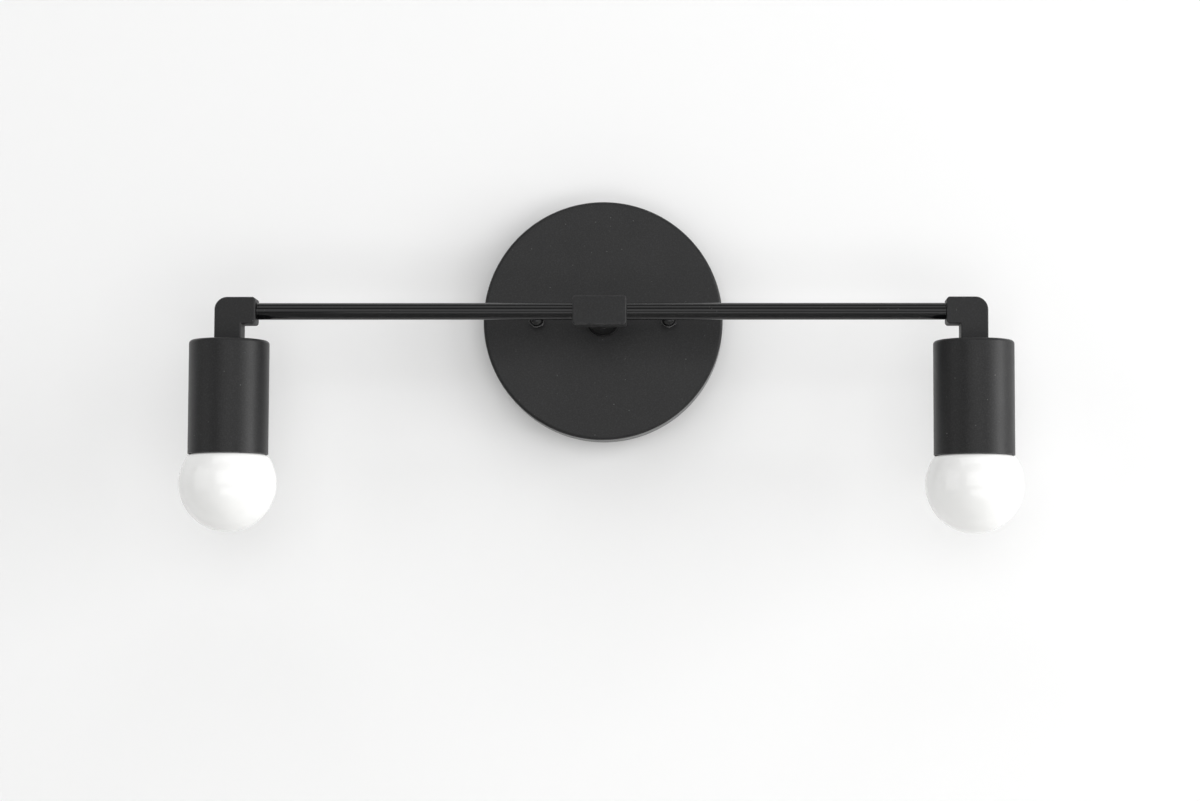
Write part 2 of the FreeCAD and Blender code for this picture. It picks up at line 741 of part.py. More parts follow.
def socket_rivets():
    """Two rivets that hold the tongue and the shell to the lampholder's floor."""
    rivets = []
    sheets = (tongue_thickness, shell_sheet)
    for place, sheet in zip(holder_rivet_places(), sheets):
        low = place + UP * (holder_ceiling - sheet)
        high = place + UP * holder_top
        rivet = cylinder(rivet_radius, low, high)
        rivet = rivet.fuse(cylinder(rivet_head_radius, low + DOWN * rivet_head_height, low))
        rivets.append(rivet.fuse(cylinder(rivet_head_radius, high, high + UP * rivet_head_height)))
    return Part.makeCompound(rivets)


def globe_profile(inset):
    """The globe's outline in arcs from the pole to the neck, moved inwards by an inset."""
    centre = V(0, 0, globe_centre)
    lift = UP * globe_centre
    ball = arc(centre, globe_radius - inset, -math.pi / 2, start_turn, ALONG, UP)
    shoulder = arc(shoulder_centre + lift, shoulder_radius - inset, start_turn, end_turn, ALONG, UP)
    throat = arc(throat_centre + lift, throat_radius + inset, math.pi + end_turn, math.pi, ALONG, UP)
    return [ball, shoulder, throat]


def bulb_globe():
    """Opal glass globe with a neck that goes up into the cap."""
    outer = globe_profile(0)
    inner = globe_profile(glass_thickness)
    inner_neck = neck_radius - glass_thickness
    pole = globe_centre - globe_radius
    edges = outer + inner + [
        line(V(neck_radius, 0, cap_bottom), V(neck_radius, 0, neck_top)),
        line(V(neck_radius, 0, neck_top), V(inner_neck, 0, neck_top)),
        line(V(inner_neck, 0, neck_top), V(inner_neck, 0, cap_bottom)),
        line(V(0, 0, pole + glass_thickness), V(0, 0, pole)),
    ]
    return revolved(Part.__sortEdges__(edges), V(0, 0, 0), UP)


def bulb_cap():
    """Threaded metal cap: a plain skirt, rolled threads and a flange round the insulator."""
    cap = bead_thread(cap_thread_radius, skirt_step, cap_top)
    cap = cap.fuse(cylinder(cap_skirt_radius, V(0, 0, cap_bottom), V(0, 0, skirt_top)))
    cap = cap.cut(bead_thread(cap_thread_radius - cap_sheet, cap_bottom, cap_top - cap_flange_height))
    skirt_hollow = cylinder(cap_skirt_radius - cap_sheet, V(0, 0, cap_bottom - overrun), V(0, 0, skirt_step))
    window = cylinder(insulator_radius + slip_play, V(0, 0, cap_top - overrun), V(0, 0, cap_top + overrun))
    return cap.cut(skirt_hollow).cut(window)


def bulb_insulator():
    """Dark glass cone between the cap and the centre contact."""
    base = cylinder(insulator_radius, V(0, 0, cap_top - insulator_depth), V(0, 0, cap_top))
    cone = Part.makeCone(insulator_radius, insulator_top_radius, insulator_rise, V(0, 0, cap_top), UP)
    pocket = cylinder(eyelet_radius + slip_play, V(0, 0, insulator_top - eyelet_depth),
                      V(0, 0, insulator_top + overrun))
    return base.fuse(cone).removeSplitter().cut(pocket)


def bulb_contact():
    """Round centre contact in the tip of the insulator."""
    disc = cylinder(eyelet_radius, V(0, 0, insulator_top - eyelet_depth), V(0, 0, eyelet_top))
    return rounded_edges(disc, eyelet_edge, lambda edge: at_level(edge, eyelet_top, UP))


def stem_tip():
    """Level of the lower end of the post inside a bulb."""
    return neck_top - stem_post_length


def bulb_stem():
    """Glass post inside the bulb, hung from a flare across the top of the neck."""
    flare_radius = neck_radius - glass_thickness - slip_play
    flare = cylinder(flare_radius, V(0, 0, neck_top - stem_flare_height), V(0, 0, neck_top))
    post = cylinder(stem_post_radius, V(0, 0, stem_tip()), V(0, 0, neck_top))
    post = rounded_edges(post, stem_post_radius / 3, lambda edge: at_level(edge, stem_tip(), UP))
    stem = flare.fuse(post)
    for side in (-1, 1):
        foot = V(side * filament_foot_spread, 0, stem_tip())
        sink = foot + UP * filament_foot_sink
        stem = stem.cut(cylinder(filament_wire_radius + slip_play, foot + DOWN * overrun, sink))
    return stem


def bulb_filament():
    """Light filament: a bow of wire that hangs from two feet in the post."""
    top = stem_tip() + filament_foot_sink
    bow = stem_tip() - filament_rise
    middle = stem_tip() - filament_rise / 2
    route = [
        V(-filament_foot_spread, 0, top),
        V(-filament_foot_spread, 0, (stem_tip() + middle) / 2 + filament_foot_sink),
        V(-filament_half_width, 0, middle),
        V(-filament_half_width, 0, bow),
        V(filament_half_width, 0, bow),
        V(filament_half_width, 0, middle),
        V(filament_foot_spread, 0, (stem_tip() + middle) / 2 + filament_foot_sink),
        V(filament_foot_spread, 0, top),
    ]
    return routed_wire(route, filament_wire_radius, filament_half_width / 3)


def routed_wire(points, radius, largest_bend, bends=None):
    """Round wire along straight runs joined by tangent arcs, each as large as its runs allow."""
    edges = []
    last = points[0]
    for number in range(1, len(points) - 1):
        corner = points[number]
        before = points[number - 1] - corner
        after = points[number + 1] - corner
        turn = math.pi - before.getAngle(after)
        shorter = min(before.Length, after.Length)
        room = shorter * bend_run_share / math.tan(turn / 2)
        wanted = bends[number] if bends and number in bends else min(largest_bend, room)
        reach = wanted * math.tan(turn / 2)
        start = corner + before.normalize() * reach
        end = corner + after.normalize() * reach
        inward = (before + after).normalize()
        middle = corner + inward * (wanted / math.cos(turn / 2) - wanted)
        edges.append(line(last, start))
        edges.append(Part.Arc(start, middle, end).toShape())
        last = end
    edges.append(line(last, points[-1]))
    path = Part.Wire(edges)
    section = Part.Wire(Part.makeCircle(radius, points[0], points[1] - points[0]))
    return path.makePipeShell([section], True, False)


def lamp_wire(side, role):
    """One wire from a lampholder through the elbow, arm, block and stem into its connector.

    The hot wire has role +1: it lies above its neighbour in the arm and turns up in the
    canopy. The neutral wire has role -1.
    """
    level = role * wire_pair_offset
    entry = wire_entry(side, role) + V(side * lamp_x, arm_axis, 0)
    drop_x = entry.x
    holder_y = entry.y
    stem_x = side * wire_pair_offset
    spread_start = cup_pipe_bottom - seat_gap
    spread_end = (spread_start + holder_top) / 2 - wire_radius
    points = [
        V(drop_x, holder_y, holder_top - holder_wire_depth),
        V(drop_x, holder_y, spread_end),
        V(drop_x, arm_axis, spread_start),
        V(drop_x, arm_axis, level),
        V(stem_x, arm_axis, level),
        V(stem_x, -wire_plane_from_wall, level),
        V(stem_x, -wire_plane_from_wall, role * (connector_start + connector_wire_end)),
    ]
    bends = {3: elbow_bend_radius + level, 4: block_bend_radius, 5: canopy_bend_radius}
    return routed_wire(points, wire_radius, holder_bend_radius, bends)


def wire_connectors():
    """Two twist-on caps in the canopy: the upper joins the hot wires, the lower the neutral ones."""
    caps = []
    for role in (-1, 1):
        start = V(0, -wire_plane_from_wall, role * connector_start)
        cone = Part.makeCone(connector_mouth_radius, connector_tip_radius, connector_length, start, UP * role)
        tip_level = role * (connector_start + connector_length)
        cone = rounded_edges(cone, connector_tip_radius / 3, lambda edge: at_level(edge, tip_level, UP))
        bore_end = start + UP * (role * connector_bore_depth)
        caps.append(cone.cut(cylinder(connector_bore_radius, start, bore_end)))
    return Part.makeCompound(caps)


def save(name, shape):
    """Write one node's STEP file and report its solids."""
    shape.exportStep("parts/" + name + ".step")
    print(name, len(shape.Solids), round(shape.Volume, 1), shape.isValid())


def main():
    """Build every piece of the light and write one file for each node."""
    os.makedirs("parts", exist_ok=True)
    single = (mounting_strap, canopy_studs, strap_lock_nuts, ground_screw, canopy, canopy_cap_nuts,
              stem_nipple, stem_lock_washer, stem_lock_nut, stem_check_ring, stem_spacer,
              stem_seat_washer, center_block, wire_connectors)
    for make in single:
        save(make.__name__, make())
    lamp = (cup_nipple, cup_lock_nut, socket_cup, socket_bracket, bracket_screws, socket_shell,
            center_contact, socket_rivets, bulb_globe, bulb_cap, bulb_insulator, bulb_contact,
            bulb_stem, bulb_filament)
    for side, word in ((-1, "left_"), (1, "right_")):
        save(word + "arm_tube", arm_tube(side))
        save(word + "elbow", elbow(side))
        for make in lamp:
            save(word + make.__name__, on_lamp(make(), side))
        save(word + "socket_body", on_lamp(socket_body(side), side))
        save(word + "hot_wire", lamp_wire(side, 1))
        save(word + "neutral_wire", lamp_wire(side, -1))


main()
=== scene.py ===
"""Dressed two-lamp vanity light on a pale wall, for Blender 4.5.

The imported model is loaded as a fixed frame. Each sub-assembly is a class that holds its sizes
in millimetres, builds its pieces at the places that the frame gives, and finishes them. The
wall is the plane Y = 0, the light stands out of it towards -Y, and Z runs up.
"""

import logging
import math
from dataclasses import dataclass
from enum import Enum
from typing import Callable, Iterator, Optional, Protocol, Sequence

import bmesh
import bpy
from mathutils import Matrix, Vector


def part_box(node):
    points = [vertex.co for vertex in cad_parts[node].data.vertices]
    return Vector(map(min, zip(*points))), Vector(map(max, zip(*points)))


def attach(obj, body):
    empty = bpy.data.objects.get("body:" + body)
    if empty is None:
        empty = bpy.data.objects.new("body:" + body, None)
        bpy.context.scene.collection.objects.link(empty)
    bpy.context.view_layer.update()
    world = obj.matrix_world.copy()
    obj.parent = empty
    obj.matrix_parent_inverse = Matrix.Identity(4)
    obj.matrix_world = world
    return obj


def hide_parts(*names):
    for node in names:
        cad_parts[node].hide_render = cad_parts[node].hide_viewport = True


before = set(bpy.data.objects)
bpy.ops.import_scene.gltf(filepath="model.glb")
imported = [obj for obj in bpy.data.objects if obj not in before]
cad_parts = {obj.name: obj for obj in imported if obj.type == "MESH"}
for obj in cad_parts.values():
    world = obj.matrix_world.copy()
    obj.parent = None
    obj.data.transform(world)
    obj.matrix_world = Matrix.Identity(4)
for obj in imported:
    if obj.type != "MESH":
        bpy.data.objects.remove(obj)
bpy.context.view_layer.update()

MM = 0.001
INCH = 25.4
TINY = 1e-6
FULL_TURN = 2 * math.pi
QUARTER_TURN = math.pi / 2

# how far a cutter runs past a face
OVERRUN = 2.0
# how far from a corner a long flat face ends, as a multiple of the corner's rounding
BEND_SPAN = 1.5
# share of a sharp hexagon's corners and flats that a nut's corners and end faces reach
CORNER_BLUNT = 0.985
# the two studs: their distance, and their places across the canopy
STUD_SPACING = 69.85
STUD_PLACES = (-STUD_SPACING / 2, STUD_SPACING / 2)
# degrees from which an edge stays sharp: on most pieces, on fine threads and on lamp threads
SHARP = 32.0
THREAD_SHARP = 60.0
LAMP_THREAD_SHARP = 50.0
# weight of large faces in a piece's normals
FACE_WEIGHT = 80

log = logging.getLogger("vanity_light")

Point = tuple[float, float]
Corner = tuple[float, float, float]
Place = tuple[float, float, float]
Colour = tuple[float, float, float]
Relief = Callable[[float, float], float]
Rings = list[list[Vector]]


class Facing(Enum):
    """Way in which a piece's own X, Y and Z axes point once it is in place."""

    UP = ((1, 0, 0), (0, 1, 0), (0, 0, 1))
    DOWN = ((1, 0, 0), (0, -1, 0), (0, 0, -1))
    OUT = ((1, 0, 0), (0, 0, 1), (0, -1, 0))
    ALONG = ((0, 1, 0), (0, 0, 1), (1, 0, 0))


class Side(Enum):
    """Half of the light, with its sign along X."""

    LEFT = -1
    RIGHT = 1

    @property
    def word(self) -> str:
        """First word of the names of this half's nodes and bodies."""
        return self.name.lower()


# shapes


def rounded(corners: Sequence[Corner], steps: int = 8) -> list[Point]:
    """Round the corners of a closed outline.

    Args:
        corners: Each corner as its two coordinates and the radius of its rounding.
        steps: Straight pieces in a rounding of a quarter turn.

    Returns:
        The points of the outline, in order.
    """
    points: list[Point] = []
    for number, (across, along, radius) in enumerate(corners):
        corner = Vector((across, along))
        if radius <= 0:
            points.append((across, along))
            continue
        before = (Vector(corners[number - 1][:2]) - corner).normalized()
        after = (Vector(corners[(number + 1) % len(corners)][:2]) - corner).normalized()
        half = math.acos(max(-1.0, min(1.0, before.dot(after)))) / 2
        centre = corner + (before + after).normalized() * (radius / math.sin(half))
        start = corner + before * (radius / math.tan(half)) - centre
        end = corner + after * (radius / math.tan(half)) - centre
        first = math.atan2(start.y, start.x)
        turn = (math.atan2(end.y, end.x) - first + math.pi) % FULL_TURN - math.pi
        pieces = max(2, round(steps * abs(turn) / QUARTER_TURN))
        for step in range(pieces + 1):
            angle = first + turn * step / pieces
            points.append((centre.x + radius * math.cos(angle), centre.y + radius * math.sin(angle)))
    return points


def box_corners(left: float, bottom: float, right: float, top: float, radius: float) -> list[Corner]:
    """Corners of a rectangle, all with one rounding."""
    return [(left, bottom, radius), (right, bottom, radius), (right, top, radius), (left, top, radius)]


def skin(rings: Rings) -> bpy.types.Mesh:
    """Join rings of points into one closed skin, the last ring to the first.

    Args:
        rings: Rings of equally many points; a ring of one point is a pole.

    Returns:
        The mesh, in millimetres.
    """
    form = bmesh.new()
    made = [[form.verts.new(point) for point in ring] for ring in rings]
    count = max(len(ring) for ring in rings)
    for first, second in zip(made, made[1:] + made[:1]):
        for here in range(count):
            there = (here + 1) % count
            corners = (first[here % len(first)], first[there % len(first)],
                       second[there % len(second)], second[here % len(second)])
            unique = list(dict.fromkeys(corners))
            if len(unique) > 2:
                form.faces.new(unique)
    bmesh.ops.recalc_face_normals(form, faces=form.faces)
    mesh = bpy.data.meshes.new("shape")
    form.to_mesh(mesh)
    form.free()
    return mesh


def turned(outline: Sequence[Sequence[float]], segments: int = 192,
           relief: Optional[Relief] = None) -> bpy.types.Mesh:
    """Turn a closed outline about the Z axis.

    Args:
        outline: Points of radius, level and, where the relief shows, its share from 0 to 1.
        segments: Pieces round the axis.
        relief: Change of the radius at an angle and a level, such as a thread's.

    Returns:
        The mesh, in millimetres.
    """
    rings: Rings = []
    for radius, level, *share in outline:
        if radius < TINY:
            rings.append([Vector((0, 0, level))])
            continue
        ring = []
        for number in range(segments):
            angle = FULL_TURN * number / segments
            reach = radius + (share[0] * relief(angle, level) if relief and share else 0)
            ring.append(Vector((reach * math.cos(angle), reach * math.sin(angle), level)))
        rings.append(ring)
    return skin(rings)


def pressed(outline: Sequence[Point], thickness: float, edge: float = 0, steps: int = 4) -> bpy.types.Mesh:
    """Plate with a closed outline in X and Y, from level 0 up, with both rims rounded.

    Args:
        outline: Points round the plate.
        thickness: Height of the plate.
        edge: Radius of the rims' rounding.
        steps: Pieces in that rounding.

    Returns:
        The mesh, in millimetres.
    """
    form = bmesh.new()
    base = form.faces.new([form.verts.new((across, along, 0)) for across, along in outline])
    risen = bmesh.ops.extrude_face_region(form, geom=[base])["geom"]
    for part in risen:
        if isinstance(part, bmesh.types.BMVert):
            part.co.z = thickness
    bmesh.ops.recalc_face_normals(form, faces=form.faces)
    if edge:
        rims = [line for line in form.edges if abs(line.verts[0].co.z - line.verts[1].co.z) < TINY]
        bmesh.ops.bevel(form, geom=rims, offset=edge, segments=steps, profile=0.5,
                        affect="EDGES", clamp_overlap=False)
    mesh = bpy.data.meshes.new("plate")
    form.to_mesh(mesh)
    form.free()
    return mesh


def placed(mesh: bpy.types.Mesh, place: Sequence[float] = (0, 0, 0),
           facing: Facing = Facing.UP) -> bpy.types.Mesh:
    """Turn a mesh to face a way and move it to its place.

    Args:
        mesh: The mesh, which is changed.
        place: Where its origin goes.
        facing: Way that its axes point.

    Returns:
        The same mesh.
    """
    columns = Matrix(facing.value).transposed().to_4x4()
    mesh.transform(Matrix.Translation(place) @ columns)
    return mesh


def joined(meshes: Sequence[bpy.types.Mesh]) -> bpy.types.Mesh:
    """Put several meshes into one, side by side.

    Args:
        meshes: Meshes, which are used up.

    Returns:
        The new mesh.
    """
    form = bmesh.new()
    for mesh in meshes:
        form.from_mesh(mesh)
        bpy.data.meshes.remove(mesh)
    whole = bpy.data.meshes.new("group")
    form.to_mesh(whole)
    form.free()
    return whole


def combined(mesh: bpy.types.Mesh, tools: Sequence[bpy.types.Mesh],
             operation: str = "DIFFERENCE") -> bpy.types.Mesh:
    """Cut tools out of a mesh, or join them to it.

    Args:
        mesh: The mesh to work on.
        tools: Closed meshes, each applied in turn.
        operation: Name of the boolean operation.

    Returns:
        The new mesh; the old ones are removed.
    """
    work = bpy.data.objects.new("work", mesh)
    bpy.context.scene.collection.objects.link(work)
    helpers = []
    for tool in tools:
        helper = bpy.data.objects.new("tool", tool)
        bpy.context.scene.collection.objects.link(helper)
        helpers.append(helper)
        step = work.modifiers.new("step", "BOOLEAN")
        step.operation = operation
        step.solver = "EXACT"
        step.object = helper
    result = bpy.data.meshes.new_from_object(work.evaluated_get(bpy.context.evaluated_depsgraph_get()))
    for spent in [work] + helpers:
        old = spent.data
        bpy.data.objects.remove(spent)
        bpy.data.meshes.remove(old)
    return result


def drill(radius: float, low: float, high: float, segments: int = 64) -> bpy.types.Mesh:
    """Plain round bar on the Z axis for cutting a hole."""
    return turned([(0, low), (radius, low), (radius, high), (0, high)], segments)


def vee_thread(pitch: float, depth: float) -> Relief:
    """Relief of a fine screw thread, its crests at the outline and its roots below it.

    Args:
        pitch: Rise of one turn.
        depth: Depth of the roots.

    Returns:
        The relief, as a function of angle and level.
    """
    def relief(angle: float, level: float) -> float:
        """Depth of the thread at one point, as a change of the radius."""
        share = (level / pitch - angle / FULL_TURN) % 1
        return -depth * abs(2 * share - 1)
    return relief


def lamp_thread(radius: float, wave: float, pitch: float) -> Relief:
    """Relief of the rounded lamp thread: a circle set off centre, carried up a helix.

    Args:
        radius: Mean radius of the thread.
        wave: Half of its depth.
        pitch: Rise of one turn.

    Returns:
        The relief, as a function of angle and level.
    """
    def relief(angle: float, level: float) -> float:
        """Distance of the set-off circle from the plain one at an angle."""
        lag = angle - FULL_TURN * level / pitch
        return wave * math.cos(lag) + math.sqrt(radius ** 2 - (wave * math.sin(lag)) ** 2) - radius
    return relief


def climb(radius: float, start: float, end: float, step: float) -> list[tuple[float, float, float]]:
    """Outline points of a threaded stretch, close enough together to show its thread."""
    count = max(2, math.ceil(abs(end - start) / step))
    return [(radius, start + (end - start) * number / count, 1.0) for number in range(count + 1)]


def hexagon_reach(angle: float, flats: float, turn: float = 0) -> float:
    """Distance from the axis to a hexagon's side at an angle, with its corners a little blunt.

    Args:
        angle: Direction from the axis.
        flats: Distance across the flats.
        turn: Direction of one corner.

    Returns:
        The distance.
    """
    sixth = math.pi / 3
    offset = (angle - turn + sixth / 2) % sixth - sixth / 2
    side = flats / 2 / math.cos(abs(abs(offset) - sixth / 2))
    return min(side, flats / math.sqrt(3) * CORNER_BLUNT)


@dataclass
class HexNut:
    """Plain hexagon nut, its corners turned off to a cone at both ends."""

    flats: float
    height: float
    bore: float
    turn: float = 0.0
    countersink: float = 0.25
    segments: int = 96
    cone: float = math.radians(30)

    def washer_face(self) -> float:
        """Radius of the flat face at either end."""
        return self.flats / 2 * CORNER_BLUNT

    def hexagon_ring(self, level: float, droop: float) -> list[Vector]:
        """Ring on the six sides, drawn towards the middle of the nut where the corners are coned.

        Args:
            level: Level of the nut's end.
            droop: +1 at the lower end and -1 at the upper one.

        Returns:
            The points of the ring.
        """
        ring = []
        for number in range(self.segments):
            angle = FULL_TURN * number / self.segments
            reach = hexagon_reach(angle, self.flats, self.turn)
            fall = max(0.0, reach - self.washer_face()) * math.tan(self.cone)
            ring.append(Vector((reach * math.cos(angle), reach * math.sin(angle), level + droop * fall)))
        return ring

    def round_ring(self, radius: float, level: float) -> list[Vector]:
        """Plain ring of a radius at a level."""
        angles = [FULL_TURN * number / self.segments for number in range(self.segments)]
        return [Vector((radius * math.cos(angle), radius * math.sin(angle), level)) for angle in angles]

    def collar_rings(self) -> Rings:
        """Rings from the bore's lower edge out, up the sides and in to the upper face.

        Returns:
            The rings, in order.
        """
        return [
            self.round_ring(self.bore, self.countersink),
            self.round_ring(self.bore + self.countersink, 0),
            self.round_ring(self.washer_face(), 0),
            self.hexagon_ring(0, 1),
            self.hexagon_ring(self.height, -1),
            self.round_ring(self.washer_face(), self.height),
        ]

    def mesh(self) -> bpy.types.Mesh:
        """The nut on the Z axis, from level 0 up.

        Returns:
            The mesh, in millimetres.
        """
        rings = self.collar_rings()
        rings.append(self.round_ring(self.bore + self.countersink, self.height))
        rings.append(self.round_ring(self.bore, self.height - self.countersink))
        return skin(rings)


@dataclass
class AcornNut(HexNut):
    """Nut with a domed end and a blind bore."""

    dome_radius: float = 3.7
    dome_height: float = 4.0
    bore_depth: float = 5.5
    dome_steps: int = 14

    def mesh(self) -> bpy.types.Mesh:
        """The nut on the Z axis, from its seat at level 0 to the top of its dome.

        Returns:
            The mesh, in millimetres.
        """
        rings = self.collar_rings()
        ball = (self.dome_radius ** 2 + self.dome_height ** 2) / (2 * self.dome_height)
        start = math.asin(min(1.0, self.dome_radius / ball))
        if self.dome_height > ball:
            start = math.pi - start
        centre = self.height + self.dome_height - ball
        for step in range(self.dome_steps):
            angle = start * (1 - step / self.dome_steps)
            rings.append(self.round_ring(ball * math.sin(angle), centre + ball * math.cos(angle)))
        rings.append([Vector((0, 0, self.height + self.dome_height))])
        rings.append([Vector((0, 0, self.bore_depth))])
        rings.append(self.round_ring(self.bore, self.bore_depth - self.bore / 2))
        return skin(rings)


@dataclass
class ThreadedRod:
    """Rod or pipe with a fine thread over its whole length and coned ends."""

    radius: float
    length: float
    pitch: float
    bore: float = 0.0
    segments: int = 48
    points_per_turn: int = 6
    depth_share: float = 0.5
    cone_share: float = 1.2

    def mesh(self) -> bpy.types.Mesh:
        """The rod on the Z axis, from level 0 up.

        Returns:
            The mesh, in millimetres.
        """
        depth = self.depth_share * self.pitch
        cone = depth * self.cone_share
        outer = [(self.radius - cone, 0.0)]
        outer += climb(self.radius, cone, self.length - cone, self.pitch / self.points_per_turn)
        outer += [(self.radius - cone, self.length)]
        if self.bore:
            outer += [(self.bore, self.length), (self.bore, 0.0)]
        else:
            outer += [(0.0, self.length), (0.0, 0.0)]
        return turned(outer, self.segments, vee_thread(self.pitch, depth))


def screw_head(radius: float, height: float, slot_width: float, slot_depth: float, edge: float,
               segments: int = 96) -> bpy.types.Mesh:
    """Round screw head with a slot, from level 0 up.

    Args:
        radius: Radius of the head.
        height: Height of the head.
        slot_width: Width of the slot.
        slot_depth: Depth of the slot.
        edge: Rounding of the upper rim.
        segments: Pieces round the axis.

    Returns:
        The mesh, in millimetres.
    """
    outline = rounded([(0, 0, 0), (radius, 0, edge / 4), (radius, height, edge), (0, height, 0)])
    half = slot_width / 2
    slot = pressed(rounded(box_corners(-radius, -half, radius, half, 0)), slot_depth * 2)
    return combined(turned(outline, segments), [placed(slot, (0, 0, height - slot_depth))])


# finishes


class Board:
    """Adds nodes to a node tree and links them."""

    spacing = (180, -60)
    rows = 5
    mix_inputs = (0, 6, 7)
    mix_result = 2

    def __init__(self, tree: bpy.types.NodeTree) -> None:
        """Keep the tree and start an empty row."""
        self.tree = tree
        self.count = 0

    def add(self, kind: str, inputs: Optional[dict] = None, **settings: object) -> bpy.types.Node:
        """Add one node.

        Args:
            kind: Type name of the node, without its common first part.
            inputs: Values or sockets for its inputs, by name or number.
            settings: Properties of the node.

        Returns:
            The new node.
        """
        node = self.tree.nodes.new("ShaderNode" + kind)
        node.location = (self.spacing[0] * self.count, self.spacing[1] * (self.count % self.rows))
        self.count += 1
        for name, value in settings.items():
            setattr(node, name, value)
        for key, value in (inputs or {}).items():
            self.feed(node.inputs[key], value)
        return node

    def feed(self, socket: bpy.types.NodeSocket, value: object) -> None:
        """Link another socket to an input, or set the input's own value.

        Args:
            socket: The input.
            value: A socket or a plain value.
        """
        if isinstance(value, bpy.types.NodeSocket):
            self.tree.links.new(value, socket)
        else:
            socket.default_value = value

    def scaled(self, vector: bpy.types.NodeSocket, factor: object) -> bpy.types.NodeSocket:
        """Multiply a vector by a factor and return the result."""
        return self.add("VectorMath", {0: vector, "Scale": factor}, operation="SCALE").outputs[0]

    def compute(self, operation: str, *values: object, clamp: bool = False) -> bpy.types.NodeSocket:
        """Add a Math node and return its output."""
        node = self.add("Math", dict(enumerate(values)), operation=operation, use_clamp=clamp)
        return node.outputs[0]

    def spread(self, value: bpy.types.NodeSocket, low: float, high: float,
               new_low: float = 0.0, new_high: float = 1.0) -> bpy.types.NodeSocket:
        """Map a range of values to another one and return the result."""
        inputs = {"Value": value, "From Min": low, "From Max": high, "To Min": new_low, "To Max": new_high}
        return self.add("MapRange", inputs).outputs[0]

    def blend(self, share: object, first: object, second: object) -> bpy.types.NodeSocket:
        """Mix two colours by a share and return the result."""
        inputs = dict(zip(self.mix_inputs, (share, first, second)))
        return self.add("Mix", inputs, data_type="RGBA").outputs[self.mix_result]

    def cover(self, mask: bpy.types.NodeSocket, share: float, under: object,
              over: object) -> bpy.types.NodeSocket:
        """Lay a colour over another by a share of a mask and return the result."""
        return self.blend(self.compute("MULTIPLY", mask, share), under, over)

    def bump(self, strength: float, depth: float, height: bpy.types.NodeSocket) -> bpy.types.NodeSocket:
        """Add a Bump node and return its normal."""
        return self.add("Bump", {"Strength": strength, "Distance": depth, "Height": height}).outputs[0]


Layout = Callable[[Board, bpy.types.Node], Sequence[bpy.types.NodeSocket]]


